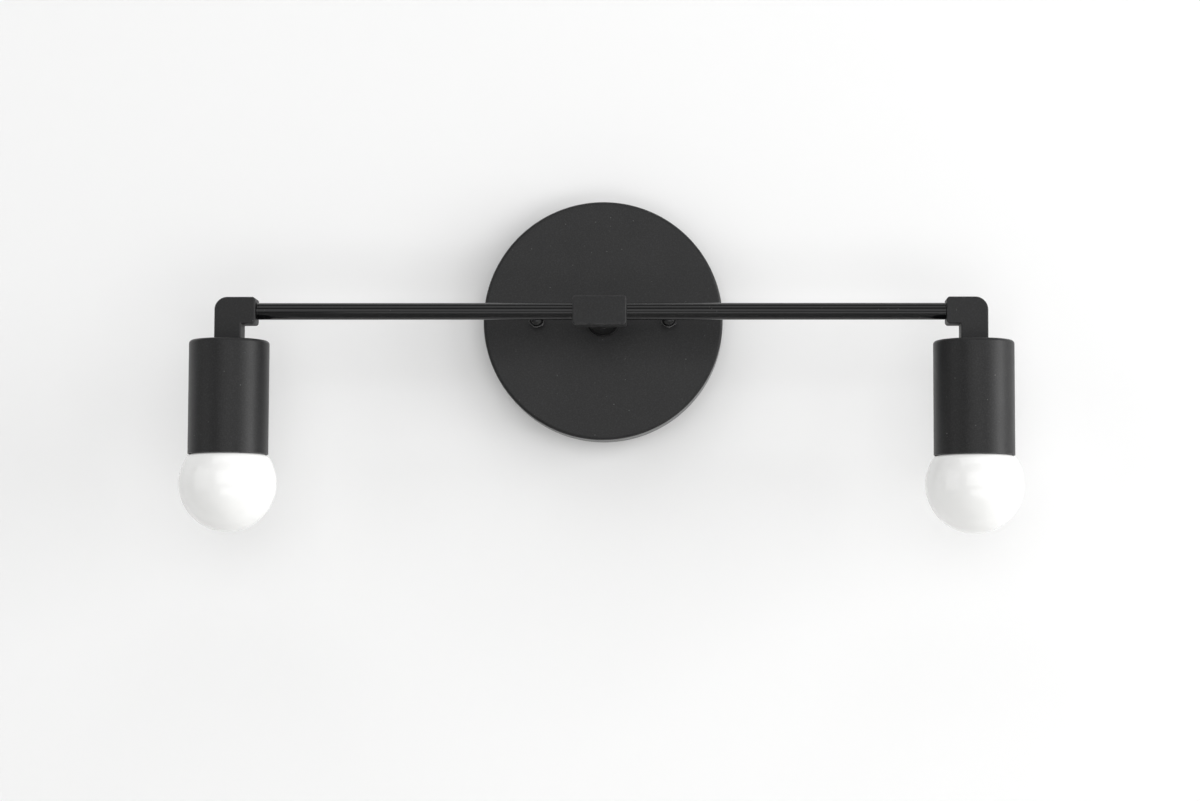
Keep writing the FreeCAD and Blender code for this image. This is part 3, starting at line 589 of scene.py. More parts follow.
class Effects:
    """Shader node groups that more than one finish uses, each made once."""

    made: dict[str, bpy.types.NodeTree] = {}
    bump_share = 0.6
    noise_share = 0.7

    @classmethod
    def group(cls, name: str, inputs: dict[str, object], outputs: Sequence[str],
              build: Layout) -> bpy.types.NodeTree:
        """Make a node group, or give the one already made.

        Args:
            name: Name of the group.
            inputs: Input names with their defaults; None stands for a vector.
            outputs: Names of the outputs, all plain values.
            build: Function that lays out the nodes and returns the sockets for the outputs.

        Returns:
            The node group.
        """
        if name in cls.made:
            return cls.made[name]
        tree = bpy.data.node_groups.new(name, "ShaderNodeTree")
        for key, value in inputs.items():
            kind = "NodeSocketVector" if value is None else "NodeSocketFloat"
            socket = tree.interface.new_socket(name=key, in_out="INPUT", socket_type=kind)
            if value is not None:
                socket.default_value = value
        for key in outputs:
            tree.interface.new_socket(name=key, in_out="OUTPUT", socket_type="NodeSocketFloat")
        entry = tree.nodes.new("NodeGroupInput")
        results = build(Board(tree), entry)
        leaving = tree.nodes.new("NodeGroupOutput")
        for number, socket in enumerate(results):
            tree.links.new(socket, leaving.inputs[number])
        cls.made[name] = tree
        return tree

    @classmethod
    def grain(cls) -> bpy.types.NodeTree:
        """Small even bumps of a sprayed or moulded skin, with a slow drift from place to place.

        Returns:
            The node group.
        """
        def build(board: Board, entry: bpy.types.Node) -> Sequence[bpy.types.NodeSocket]:
            """Two sizes of bump and one slow noise.

            Args:
                board: Board of the group.
                entry: Node that holds the group's inputs.

            Returns:
                Height and drift.
            """
            fine = board.scaled(entry.outputs["Place"], entry.outputs["Fineness"])
            bumps = board.add("TexVoronoi", {"Vector": fine, "Scale": 1.0, "Smoothness": 1.0},
                              feature="SMOOTH_F1").outputs["Distance"]
            noise = board.add("TexNoise", {"Vector": fine, "Scale": 1.7, "Detail": 3.0,
                                           "Roughness": 0.6}).outputs[0]
            height = board.compute("ADD", board.compute("MULTIPLY", bumps, cls.bump_share),
                                   board.compute("MULTIPLY", noise, cls.noise_share))
            drift = board.add("TexNoise", {"Vector": entry.outputs["Place"], "Scale": 0.045,
                                           "Detail": 3.0, "Roughness": 0.55}).outputs[0]
            return height, board.spread(drift, low=0.3, high=0.7)
        return cls.group("spray_grain", {"Place": None, "Fineness": 2.0}, ("Height", "Drift"), build)

    @classmethod
    def edge_wear_and_highlight(cls) -> bpy.types.NodeTree:
        """Mask of outer edges, broken up along their length, for wear and for a painted highlight there.

        Returns:
            The node group.
        """
        def build(board: Board, entry: bpy.types.Node) -> Sequence[bpy.types.NodeSocket]:
            """Compare a widely rounded normal with the real one.

            Args:
                board: Board of the group.
                entry: Node that holds the group's inputs.

            Returns:
                The mask.
            """
            normal = board.add("NewGeometry").outputs["Normal"]
            soft = board.add("Bevel", {"Radius": entry.outputs["Width"]}, samples=4).outputs[0]
            same = board.add("VectorMath", {0: soft, 1: normal}, operation="DOT_PRODUCT").outputs["Value"]
            bend = board.spread(board.compute("SUBTRACT", 1.0, same), low=0.003, high=0.08)
            breakup = board.add("TexNoise", {"Vector": entry.outputs["Place"], "Scale": 0.9,
                                             "Detail": 2.0}).outputs[0]
            gaps = board.spread(breakup, low=0.25, high=0.55)
            return (board.compute("MULTIPLY", bend, gaps, clamp=True),)
        return cls.group("edge_wear_and_highlight", {"Place": None, "Width": 0.0006}, ("Mask",), build)

    @classmethod
    def specks(cls) -> bpy.types.NodeTree:
        """Scattered pale specks of dust, few and of uneven size.

        Returns:
            The node group.
        """
        def build(board: Board, entry: bpy.types.Node) -> Sequence[bpy.types.NodeSocket]:
            """One spot in a few of the cells.

            Args:
                board: Board of the group.
                entry: Node that holds the group's inputs.

            Returns:
                The mask.
            """
            spread = board.scaled(entry.outputs["Place"], entry.outputs["Density"])
            cells = board.add("TexVoronoi", {"Vector": spread, "Scale": 1.0, "Randomness": 1.0})
            chance = board.add("SeparateColor", {0: cells.outputs["Color"]})
            limit = board.spread(chance.outputs[0], low=0.86, high=1.0, new_high=0.16)
            spot = board.compute("LESS_THAN", cells.outputs["Distance"], limit)
            return (board.compute("MULTIPLY", spot, chance.outputs[1]),)
        return cls.group("dust_specks", {"Place": None, "Density": 0.6}, ("Mask",), build)

    @classmethod
    def tool_marks(cls) -> bpy.types.NodeTree:
        """Fine lines left by rolling, drawing or turning, with slow stains across them.

        Returns:
            The node group.
        """
        def build(board: Board, entry: bpy.types.Node) -> Sequence[bpy.types.NodeSocket]:
            """Noise drawn out along the piece, and a second one that isn't.

            Args:
                board: Board of the group.
                entry: Node that holds the group's inputs.

            Returns:
                Lines and stains.
            """
            drawn = board.add("Mapping", {"Vector": entry.outputs["Place"],
                                          "Scale": (0.6, 0.6, 9.0)}).outputs[0]
            lines = board.add("TexNoise", {"Vector": drawn, "Scale": 1.0, "Detail": 4.0,
                                           "Roughness": 0.7}).outputs[0]
            stains = board.add("TexNoise", {"Vector": entry.outputs["Place"], "Scale": 0.22,
                                            "Detail": 4.0, "Distortion": 0.6}).outputs[0]
            return lines, board.spread(stains, low=0.35, high=0.7)
        return cls.group("tool_marks", {"Place": None}, ("Lines", "Stains"), build)


@dataclass(frozen=True)
class Finish:
    """Finish of a piece: its name, a slot name that is not used, and its plain colour and gloss."""

    name: str
    slot: str
    colour: Colour
    roughness: float = 0.5
    metallic: float = 0.0

    def start(self) -> tuple[bpy.types.Material, Board, bpy.types.Node, bpy.types.NodeSocket]:
        """Make an empty material.

        Returns:
            The material, its board, its shader and the place on the piece in millimetres.
        """
        material = bpy.data.materials.new(self.name)
        material.use_nodes = True
        tree = material.node_tree
        tree.nodes.clear()
        board = Board(tree)
        shader = board.add("BsdfPrincipled", {"Metallic": self.metallic})
        ending = board.add("OutputMaterial")
        tree.links.new(shader.outputs[0], ending.inputs[0])
        place = board.scaled(board.add("TexCoord").outputs["Object"], 1 / MM)
        return material, board, shader, place

    def dress(self, board: Board, shader: bpy.types.Node, place: bpy.types.NodeSocket) -> None:
        """Lay out the nodes of the finish; each kind of finish has its own."""
        raise NotImplementedError

    def material(self) -> bpy.types.Material:
        """The material, made at its first use.

        Returns:
            The material.
        """
        known = bpy.data.materials.get(self.name)
        if known:
            return known
        material, board, shader, place = self.start()
        self.dress(board, shader, place)
        return material

    def effect(self, board: Board, group: bpy.types.NodeTree, **inputs: object) -> bpy.types.Node:
        """Put a shared effect on the board, with its own values."""
        return board.add("Group", inputs, node_tree=group)

    def paint(self, board: Board, shader: bpy.types.Node, **sockets: bpy.types.NodeSocket) -> None:
        """Link sockets to the shader, with underscores for the spaces in its input names."""
        for key, socket in sockets.items():
            board.tree.links.new(socket, shader.inputs[key.replace("_", " ")])


def lighter(colour: Sequence[float], factor: float, lift: float = 0.0) -> tuple[float, ...]:
    """Colour multiplied by a factor and lifted, as a node wants it."""
    return tuple(min(1.0, value * factor + lift) for value in colour[:3]) + (1.0,)


@dataclass(frozen=True)
class SprayedCoat(Finish):
    """Black coat on metal: fine grain, slow drift in gloss, pale edges that are partly wear and partly a
    painted highlight, and a little dust.
    """

    fineness: float = 1.5
    bump_depth: float = 0.03
    bump_strength: float = 0.8
    grain_range: tuple[float, float] = (0.5, 0.95)
    grain_tone: float = 2.0
    drift: float = 0.06
    drift_tones: tuple[float, float] = (0.6, 0.75)
    edge_width: float = 0.6
    edge_share: float = 0.7
    edge_tone: float = 1.4
    edge_lift: float = 0.12
    speck_density: float = 0.5
    speck_share: float = 0.55
    speck_roughness: float = 0.3
    speck_colour: Colour = (0.2, 0.2, 0.195)
    shine: float = 0.33

    def dress(self, board: Board, shader: bpy.types.Node, place: bpy.types.NodeSocket) -> None:
        """Colour from drift, edges and dust; gloss from drift; normals from grain.

        Args:
            board: Board to add nodes to.
            shader: Shader that the finish feeds.
            place: Place on the piece, in millimetres.
        """
        grain = self.effect(board, Effects.grain(), Place=place, Fineness=self.fineness)
        edge = self.effect(board, Effects.edge_wear_and_highlight(), Place=place, Width=self.edge_width * MM)
        dust = self.effect(board, Effects.specks(), Place=place, Density=self.speck_density)
        mask = dust.outputs["Mask"]
        tones = (lighter(self.colour, tone) for tone in self.drift_tones)
        drifted = board.blend(grain.outputs["Drift"], *tones)
        sand = board.spread(grain.outputs["Height"], *self.grain_range)
        base = board.blend(sand, drifted, lighter(self.colour, self.grain_tone))
        # paler colour on outer edges: partly wear of the coat, partly a painted highlight
        edged = board.cover(edge.outputs["Mask"], self.edge_share, base,
                            lighter(self.colour, self.edge_tone, self.edge_lift))
        dusted = board.cover(mask, self.speck_share, edged, self.speck_colour + (1,))
        gloss = board.spread(grain.outputs["Drift"], 0, 1, self.roughness - self.drift / 2,
                             self.roughness + self.drift / 2)
        matt_specks = board.compute("MULTIPLY", mask, self.speck_roughness)
        matt_dust = board.compute("ADD", gloss, matt_specks, clamp=True)
        bump = board.bump(self.bump_strength, self.bump_depth * MM, grain.outputs["Height"])
        shader.inputs["Specular IOR Level"].default_value = self.shine
        self.paint(board, shader, Base_Color=dusted, Roughness=matt_dust, Normal=bump)


@dataclass(frozen=True)
class SpunCoat(SprayedCoat):
    """Black coat on a spun dish, which came out smoother on the side than on the face."""

    side_roughness: float = 0.27

    def dress(self, board: Board, shader: bpy.types.Node, place: bpy.types.NodeSocket) -> None:
        """The sprayed coat, with less grain and more gloss where the dish turns to the wall.

        Args:
            board: Board to add nodes to.
            shader: Shader that the finish feeds.
            place: Place on the piece, in millimetres.
        """
        super().dress(board, shader, place)
        axes = board.add("SeparateXYZ", {"Vector": board.add("TexCoord").outputs["Normal"]})
        face = board.compute("ABSOLUTE", axes.outputs["Y"])
        gloss = shader.inputs["Roughness"]
        grain = shader.inputs["Normal"].links[0].from_node.inputs["Height"]
        rough = board.compute("SUBTRACT", gloss.links[0].from_socket, self.side_roughness)
        softer = board.compute("ADD", board.compute("MULTIPLY", rough, face), self.side_roughness)
        board.tree.links.new(softer, gloss)
        lower = board.compute("MULTIPLY", grain.links[0].from_socket, face)
        board.tree.links.new(lower, grain)


@dataclass(frozen=True)
class PlatedMetal(Finish):
    """Plated or rolled metal: fine lines, stains in colour and gloss, bright edges that are partly wear
    and partly a painted highlight.
    """

    stain: Colour = (0.4, 0.4, 0.4)
    stain_roughness: float = 0.1
    line_roughness: float = 0.14
    mean_roughness: float = 0.12
    line_depth: float = 0.01
    line_strength: float = 0.25
    edge_width: float = 0.4
    edge_share: float = 0.6
    edge_tone: float = 1.15
    edge_lift: float = 0.04

    def dress(self, board: Board, shader: bpy.types.Node, place: bpy.types.NodeSocket) -> None:
        """Colour from stains and edges; gloss from lines and stains; normals from lines.

        Args:
            board: Board to add nodes to.
            shader: Shader that the finish feeds.
            place: Place on the piece, in millimetres.
        """
        marks = self.effect(board, Effects.tool_marks(), Place=place)
        edge = self.effect(board, Effects.edge_wear_and_highlight(), Place=place, Width=self.edge_width * MM)
        lines, stains = marks.outputs["Lines"], marks.outputs["Stains"]
        base = board.blend(stains, self.colour + (1,), self.stain + (1,))
        # paler colour on outer edges: partly wear, partly a painted highlight
        edged = board.cover(edge.outputs["Mask"], self.edge_share, base,
                            lighter(self.colour, self.edge_tone, self.edge_lift))
        varied = board.compute("ADD", board.compute("MULTIPLY", lines, self.line_roughness),
                               board.compute("MULTIPLY", stains, self.stain_roughness))
        gloss = board.compute("ADD", varied, self.roughness - self.mean_roughness, clamp=True)
        bump = board.bump(self.line_strength, self.line_depth * MM, lines)
        self.paint(board, shader, Base_Color=edged, Roughness=gloss, Normal=bump)


@dataclass(frozen=True)
class Moulding(Finish):
    """Moulded plastic or wire insulation: soft grain, drift in colour and a little dust."""

    fineness: float = 1.2
    bump_depth: float = 0.02
    bump_strength: float = 0.3
    drift: float = 0.12
    drift_tones: tuple[float, float] = (0.88, 1.12)
    edge_width: float = 0.5
    edge_share: float = 0.35
    edge_tone: float = 1.3
    edge_lift: float = 0.03
    speck_density: float = 0.8
    speck_share: float = 0.4
    speck_colour: Colour = (0.5, 0.49, 0.47)

    def dress(self, board: Board, shader: bpy.types.Node, place: bpy.types.NodeSocket) -> None:
        """Colour from drift and dust, gloss from drift, normals from grain.

        Args:
            board: Board to add nodes to.
            shader: Shader that the finish feeds.
            place: Place on the piece, in millimetres.
        """
        grain = self.effect(board, Effects.grain(), Place=place, Fineness=self.fineness)
        edge = self.effect(board, Effects.edge_wear_and_highlight(), Place=place, Width=self.edge_width * MM)
        dust = self.effect(board, Effects.specks(), Place=place, Density=self.speck_density)
        tones = (lighter(self.colour, tone) for tone in self.drift_tones)
        base = board.blend(grain.outputs["Drift"], *tones)
        # paler colour on outer edges: partly wear, partly a painted highlight
        edged = board.cover(edge.outputs["Mask"], self.edge_share, base,
                            lighter(self.colour, self.edge_tone, self.edge_lift))
        dusted = board.cover(dust.outputs["Mask"], self.speck_share, edged, self.speck_colour + (1,))
        gloss = board.spread(grain.outputs["Drift"], 0, 1, self.roughness - self.drift / 2,
                             self.roughness + self.drift / 2)
        bump = board.bump(self.bump_strength, self.bump_depth * MM, grain.outputs["Height"])
        self.paint(board, shader, Base_Color=dusted, Roughness=gloss, Normal=bump)


@dataclass(frozen=True)
class OpalGlass(Finish):
    """Opal white glass: even white under a glossy skin, with faint flow and a trace of dust."""

    flow: float = 0.08
    flow_tone: float = 0.975
    flow_roughness: float = 0.05
    wave_depth: float = 0.2
    wave_strength: float = 0.08
    speck_density: float = 0.35
    speck_share: float = 0.2
    speck_colour: Colour = (0.6, 0.59, 0.57)
    refraction: float = 1.5

    def dress(self, board: Board, shader: bpy.types.Node, place: bpy.types.NodeSocket) -> None:
        """White with a slow drift, a smooth coat and very low waves.

        Args:
            board: Board to add nodes to.
            shader: Shader that the finish feeds.
            place: Place on the piece, in millimetres.
        """
        grain = self.effect(board, Effects.grain(), Place=place, Fineness=self.flow)
        dust = self.effect(board, Effects.specks(), Place=place, Density=self.speck_density)
        drift = grain.outputs["Drift"]
        base = board.blend(drift, self.colour + (1,), lighter(self.colour, self.flow_tone))
        dusted = board.cover(dust.outputs["Mask"], self.speck_share, base, self.speck_colour + (1,))
        gloss = board.spread(drift, 0, 1, self.roughness, self.roughness + self.flow_roughness)
        bump = board.bump(self.wave_strength, self.wave_depth * MM, grain.outputs["Height"])
        shader.inputs["IOR"].default_value = self.refraction
        self.paint(board, shader, Base_Color=dusted, Roughness=gloss, Normal=bump)


@dataclass(frozen=True)
class ClearGlass(Finish):
    """Clear or dark fused glass with faint flow in its surface."""

    transmission: float = 1.0
    flow: float = 0.5
    flow_tone: float = 0.9
    flow_roughness: float = 0.06
    wave_depth: float = 0.1
    wave_strength: float = 0.1
    refraction: float = 1.5

    def dress(self, board: Board, shader: bpy.types.Node, place: bpy.types.NodeSocket) -> None:
        """Plain transmission, gloss that drifts and low waves.

        Args:
            board: Board to add nodes to.
            shader: Shader that the finish feeds.
            place: Place on the piece, in millimetres.
        """
        grain = self.effect(board, Effects.grain(), Place=place, Fineness=self.flow)
        drift = grain.outputs["Drift"]
        base = board.blend(drift, self.colour + (1,), lighter(self.colour, self.flow_tone))
        gloss = board.spread(drift, 0, 1, self.roughness, self.roughness + self.flow_roughness)
        bump = board.bump(self.wave_strength, self.wave_depth * MM, grain.outputs["Height"])
        shader.inputs["Transmission Weight"].default_value = self.transmission
        shader.inputs["IOR"].default_value = self.refraction
        self.paint(board, shader, Base_Color=base, Roughness=gloss, Normal=bump)


@dataclass(frozen=True)
class Finishes:
    """Every finish on the light."""

    coat: Finish = SprayedCoat("charcoal_powder_coat", "powder_coat", (0.0083, 0.0083, 0.0088), 0.42)
    spun: Finish = SpunCoat("charcoal_coat_on_spun_dish", "powder_coat", (0.0083, 0.0083, 0.0088), 0.42)
    # block and elbows: their pale edges are partly a painted highlight of the bright lines along them
    machined: Finish = SprayedCoat("charcoal_coat_on_block", "powder_coat", (0.0072, 0.0072, 0.0077), 0.54,
                                   edge_lift=0.12, shine=0.37)
    satin: Finish = SprayedCoat("satin_black_tube", "black_tube", (0.004, 0.004, 0.0043), 0.09,
                                fineness=1.4, bump_strength=0.06, drift=0.05, speck_density=0.8, shine=0.3)
    # cap nuts: their pale edges are partly a painted highlight
    nut_coat: Finish = SprayedCoat("satin_black_nut", "black_hardware", (0.004, 0.004, 0.0043), 0.16,
                                   fineness=2.5, bump_strength=0.15, drift=0.05, edge_lift=0.15, shine=0.4)
    # stem ring, tube and collar: a darker black than the other pieces, partly their own black and partly
    # painted shade for the shade under the block
    hardware: Finish = SprayedCoat("satin_black_hardware_darkened_as_shade", "black_hardware", (0.0035, 0.0035, 0.0037), 0.3,
                                   fineness=2.5, bump_strength=0.25, edge_lift=0.03, shine=0.14)
    zinc: Finish = PlatedMetal("zinc_plate", "zinc_steel", (0.62, 0.62, 0.6), 0.34, 1.0,
                               stain=(0.5, 0.5, 0.47))
    green: Finish = PlatedMetal("green_passivated_steel", "green_steel", (0.05, 0.28, 0.1), 0.36, 0.85,
                                stain=(0.03, 0.2, 0.07))
    brass: Finish = PlatedMetal("rolled_brass", "brass", (0.78, 0.58, 0.25), 0.3, 1.0,
                                stain=(0.62, 0.42, 0.17))
    cap_metal: Finish = PlatedMetal("rolled_cap_metal", "bulb_cap_metal", (0.75, 0.75, 0.76), 0.28, 1.0,
                                    stain=(0.62, 0.62, 0.62))
    filament: Finish = PlatedMetal("drawn_wire", "filament_wire", (0.45, 0.44, 0.42), 0.35, 1.0,
                                   stain=(0.36, 0.35, 0.33))
    connector: Finish = Moulding("orange_connector", "connector_shell", (0.8, 0.28, 0.03), 0.42)
    phenolic: Finish = Moulding("moulded_phenolic", "moulded_body", (0.03, 0.026, 0.024), 0.38)
    black_wire: Finish = Moulding("black_insulation", "black_wire", (0.02, 0.02, 0.02), 0.42)
    white_wire: Finish = Moulding("white_insulation", "white_wire", (0.8, 0.8, 0.78), 0.42)
    opal: Finish = OpalGlass("opal_white_glass", "opal_glass", (0.9, 0.9, 0.89), 0.07)
    dark_glass: Finish = ClearGlass("fused_dark_glass", "dark_glass", (0.02, 0.02, 0.03), 0.1,
                                    transmission=0.2)
    clear_glass: Finish = ClearGlass("clear_glass", "clear_glass", (0.92, 0.95, 0.95), 0.03)


FINISHES = Finishes()


# placing


def put(name: str, mesh: bpy.types.Mesh, finish: Finish, body: str = "root",
        nodes: Sequence[str] = (), sharp: float = SHARP) -> None:
    """Put one piece in the scene on its body.

    Args:
        name: Name of the piece.
        mesh: Its mesh in millimetres, in the frame's axes.
        finish: Its finish.
        body: Name of the body that it rides on.
        nodes: Names of the CAD nodes that it stands for.
        sharp: Angle in degrees from which an edge stays sharp.
    """
    mesh.transform(Matrix.Scale(MM, 4))
    mesh.name = name
    mesh.materials.clear()
    mesh.materials.append(finish.material())
    mesh.shade_smooth()
    mesh.set_sharp_from_angle(angle=math.radians(sharp))
    piece = bpy.data.objects.new(name, mesh)
    bpy.context.scene.collection.objects.link(piece)
    even = piece.modifiers.new("even_normals", "WEIGHTED_NORMAL")
    even.keep_sharp = True
    even.weight = FACE_WEIGHT
    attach(piece, body)
    if nodes:
        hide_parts(*nodes)
    log.info("%s: %d faces on %s", name, len(mesh.polygons), body)


def keep(node: str, finish: Finish) -> None:
    """Keep a CAD node as it is and give it its finish.

    Args:
        node: Name of the CAD node.
        finish: Its finish.
    """
    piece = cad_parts[node]
    for holder in piece.material_slots:
        holder.material = finish.material()
    if not piece.material_slots:
        piece.data.materials.append(finish.material())
    log.info("%s: CAD node kept", node)


def middle(node: str) -> Vector:
    """Middle of a CAD node's box, in millimetres."""
    low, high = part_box(node)
    return (Vector(low) + Vector(high)) / (2 * MM)


def lowest(node: str) -> Vector:
    """Lowest corner of a CAD node's box, in millimetres."""
    return Vector(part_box(node)[0]) / MM


def highest(node: str) -> Vector:
    """Highest corner of a CAD node's box, in millimetres."""
    return Vector(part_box(node)[1]) / MM


# sub-assemblies


@dataclass(frozen=True)
class LampPipe:
    """Fine-threaded pipe that holds the light together, with its nut and its hole."""

    radius: float = 5.15
    bore: float = 3.5
    pitch: float = 0.94
    play: float = 0.04
    nut_flats: float = 14.3
    segments: int = 64

    @property
    def hole(self) -> float:
        """Radius of a hole that the pipe fits."""
        return self.radius + self.play

    def cut(self, length: float) -> bpy.types.Mesh:
        """Pipe cut to a length, from level 0 up."""
        return ThreadedRod(self.radius, length, self.pitch, self.bore, self.segments).mesh()

    def nut(self, height: float) -> bpy.types.Mesh:
        """Nut that runs on the pipe, from level 0 up."""
        return HexNut(self.nut_flats, height, self.hole).mesh()


@dataclass(frozen=True)
class LampThread:
    """Rounded thread of a bulb's cap and of the shell that takes it."""

    pitch: float = INCH / 7
    wave: float = 0.4
    points_per_turn: int = 20
    segments: int = 128

    def climb(self, radius: float, start: float, end: float) -> list[tuple[float, float, float]]:
        """Outline points of a threaded stretch."""
        return climb(radius, start, end, self.pitch / self.points_per_turn)

    def roll(self, outline: Sequence[Sequence[float]], radius: float) -> bpy.types.Mesh:
        """Turn an outline, with the thread of a radius on its threaded stretches."""
        return turned(outline, self.segments, lamp_thread(radius, self.wave, self.pitch))


PIPE = LampPipe()
LAMP_THREAD = LampThread()


@dataclass
class Canopy:
    """Round dish on the wall with its two cap nuts."""

    edge_radius: float = 1.8
    sheet: float = 1.0
    rim_radius: float = 0.35
    rim_land: float = 1.0
    stem_hole: float = 5.4
    hole_edge: float = 0.15
    stud_hole: float = 2.3
    nut_flats: float = 7.94
    nut_height: float = 4.2
    nut_bore: float = 2.09
    nut_turns: tuple[float, float] = (20.0, 30.0)
    bend_steps: int = 12
    segments: int = 256

    def dish(self) -> bpy.types.Mesh:
        """Spun dish, open towards the wall, with holes for the stem and the studs.

        Returns:
            The mesh, in millimetres.
        """
        radius = highest("canopy").x
        depth = -lowest("canopy").y
        inner = radius - self.sheet
        floor = depth - self.sheet
        bend = self.edge_radius * BEND_SPAN
        corners = [
            (self.stem_hole, depth, self.hole_edge), (radius / 2, depth, 0), (radius - bend, depth, 0),
            (radius, depth, self.edge_radius), (radius, depth - bend, 0), (radius, self.rim_land, 0),
            (radius, 0, self.rim_radius), (inner, 0, self.rim_radius), (inner, self.rim_land, 0),
            (inner, floor - self.edge_radius, 0), (inner, floor, self.edge_radius - self.sheet),
            (inner - self.edge_radius, floor, 0), (self.stem_hole, floor, self.hole_edge),
        ]
        shell = turned(rounded(corners, self.bend_steps), self.segments)
        holes = [placed(drill(self.stud_hole, floor - OVERRUN, depth + OVERRUN), (across, 0, 0))
                 for across in STUD_PLACES]
        return placed(combined(shell, holes), facing=Facing.OUT)

    def cap_nuts(self) -> bpy.types.Mesh:
        """Two acorn nuts against the dish.

        Returns:
            The mesh, in millimetres.
        """
        nuts = []
        for across, turn in zip(STUD_PLACES, self.nut_turns):
            nut = AcornNut(self.nut_flats, self.nut_height, self.nut_bore, math.radians(turn))
            nuts.append(placed(nut.mesh(), (across, lowest("canopy").y, 0), Facing.OUT))
        return joined(nuts)

    def build(self) -> None:
        """Make the dish and its nuts."""
        put("canopy_dish", self.dish(), FINISHES.spun, nodes=["canopy"])
        put("canopy_acorn_nuts", self.cap_nuts(), FINISHES.nut_coat, nodes=["canopy_cap_nuts"])


@dataclass
class WallFixing:
    """Strap on the wall box with its studs, lock nuts and ground screw."""

    corner_radius: float = 4.0
    edge: float = 0.35
    edge_steps: int = 3
    wire_hole: float = 7.5
    slot_spacing: float = 88.9
    slot_width: float = 4.8
    slot_length: float = 10.0
    slot_steps: int = 12
    stud_radius: float = 2.05
    stud_pitch: float = 0.79
    stud_segments: int = 40
    play: float = 0.04
    nut_flats: float = 8.7
    nut_height: float = 3.2
    ground_radius: float = 2.3
    ground_slot: tuple[float, float] = (1.0, 1.1)
    ground_edge: float = 0.9

    def slot(self, centre: float, thickness: float) -> bpy.types.Mesh:
        """Cutter for one slot, its ends round.

        Args:
            centre: Middle of the slot along the strap.
            thickness: Thickness of the strap.

        Returns:
            The mesh, in millimetres.
        """
        half = self.slot_length / 2
        side = self.slot_width / 2
        corners = box_corners(centre - half, -side, centre + half, side, side - TINY)
        return placed(pressed(rounded(corners, self.slot_steps), thickness * 3), (0, 0, -thickness))

    def strap(self) -> bpy.types.Mesh:
        """Flat bar with slots for the box screws and holes for studs, wires and ground screw.

        Returns:
            The mesh, in millimetres.
        """
        high = highest("mounting_strap")
        thickness = -lowest("mounting_strap").y
        corners = box_corners(-high.x, -high.z, high.x, high.z, self.corner_radius)
        bar = pressed(rounded(corners), thickness, self.edge, self.edge_steps)
        holes = [(self.wire_hole, 0.0), (self.ground_radius + self.play, middle("ground_screw").x)]
        tools = [placed(drill(radius, -thickness, thickness * 2), (across, 0, 0))
                 for radius, across in holes]
        for side, across in zip((-1, 1), STUD_PLACES):
            tools.append(self.slot(side * self.slot_spacing / 2, thickness))
            hole = drill(self.stud_radius + self.play, -thickness, thickness * 2)
            tools.append(placed(hole, (across, 0, 0)))
        return placed(combined(bar, tools), facing=Facing.OUT)

    def studs(self) -> bpy.types.Mesh:
        """Two threaded rods out of the strap.

        Returns:
            The mesh, in millimetres.
        """
        rod = ThreadedRod(self.stud_radius, -lowest("canopy_studs").y, self.stud_pitch,
                          segments=self.stud_segments)
        return joined([placed(rod.mesh(), (across, 0, 0), Facing.OUT) for across in STUD_PLACES])

    def lock_nuts(self) -> bpy.types.Mesh:
        """Two nuts on the studs against the strap.

        Returns:
            The mesh, in millimetres.
        """
        start = highest("strap_lock_nuts").y
        nut = HexNut(self.nut_flats, self.nut_height, self.stud_radius + self.play)
        return joined([placed(nut.mesh(), (across, start, 0), Facing.OUT) for across in STUD_PLACES])

    def ground_screw(self) -> bpy.types.Mesh:
        """Slotted screw through the strap.

        Returns:
            The mesh, in millimetres.
        """
        low = lowest("ground_screw")
        high = highest("ground_screw")
        thickness = -lowest("mounting_strap").y
        head = screw_head((high.x - low.x) / 2, -low.y - thickness, *self.ground_slot, self.ground_edge)
        shank = ThreadedRod(self.ground_radius, thickness + self.play, self.stud_pitch,
                            segments=self.stud_segments)
        place = middle("ground_screw").x
        return joined([placed(head, (place, -thickness, 0), Facing.OUT),
                       placed(shank.mesh(), (place, 0, 0), Facing.OUT)])

    def build(self) -> None:
        """Make the strap and everything on it."""
        put("wall_strap", self.strap(), FINISHES.zinc, nodes=["mounting_strap"])
        put("threaded_studs", self.studs(), FINISHES.zinc, nodes=["canopy_studs"], sharp=THREAD_SHARP)
        put("stud_lock_nuts", self.lock_nuts(), FINISHES.zinc, nodes=["strap_lock_nuts"])
        put("green_ground_screw", self.ground_screw(), FINISHES.green, nodes=["ground_screw"])


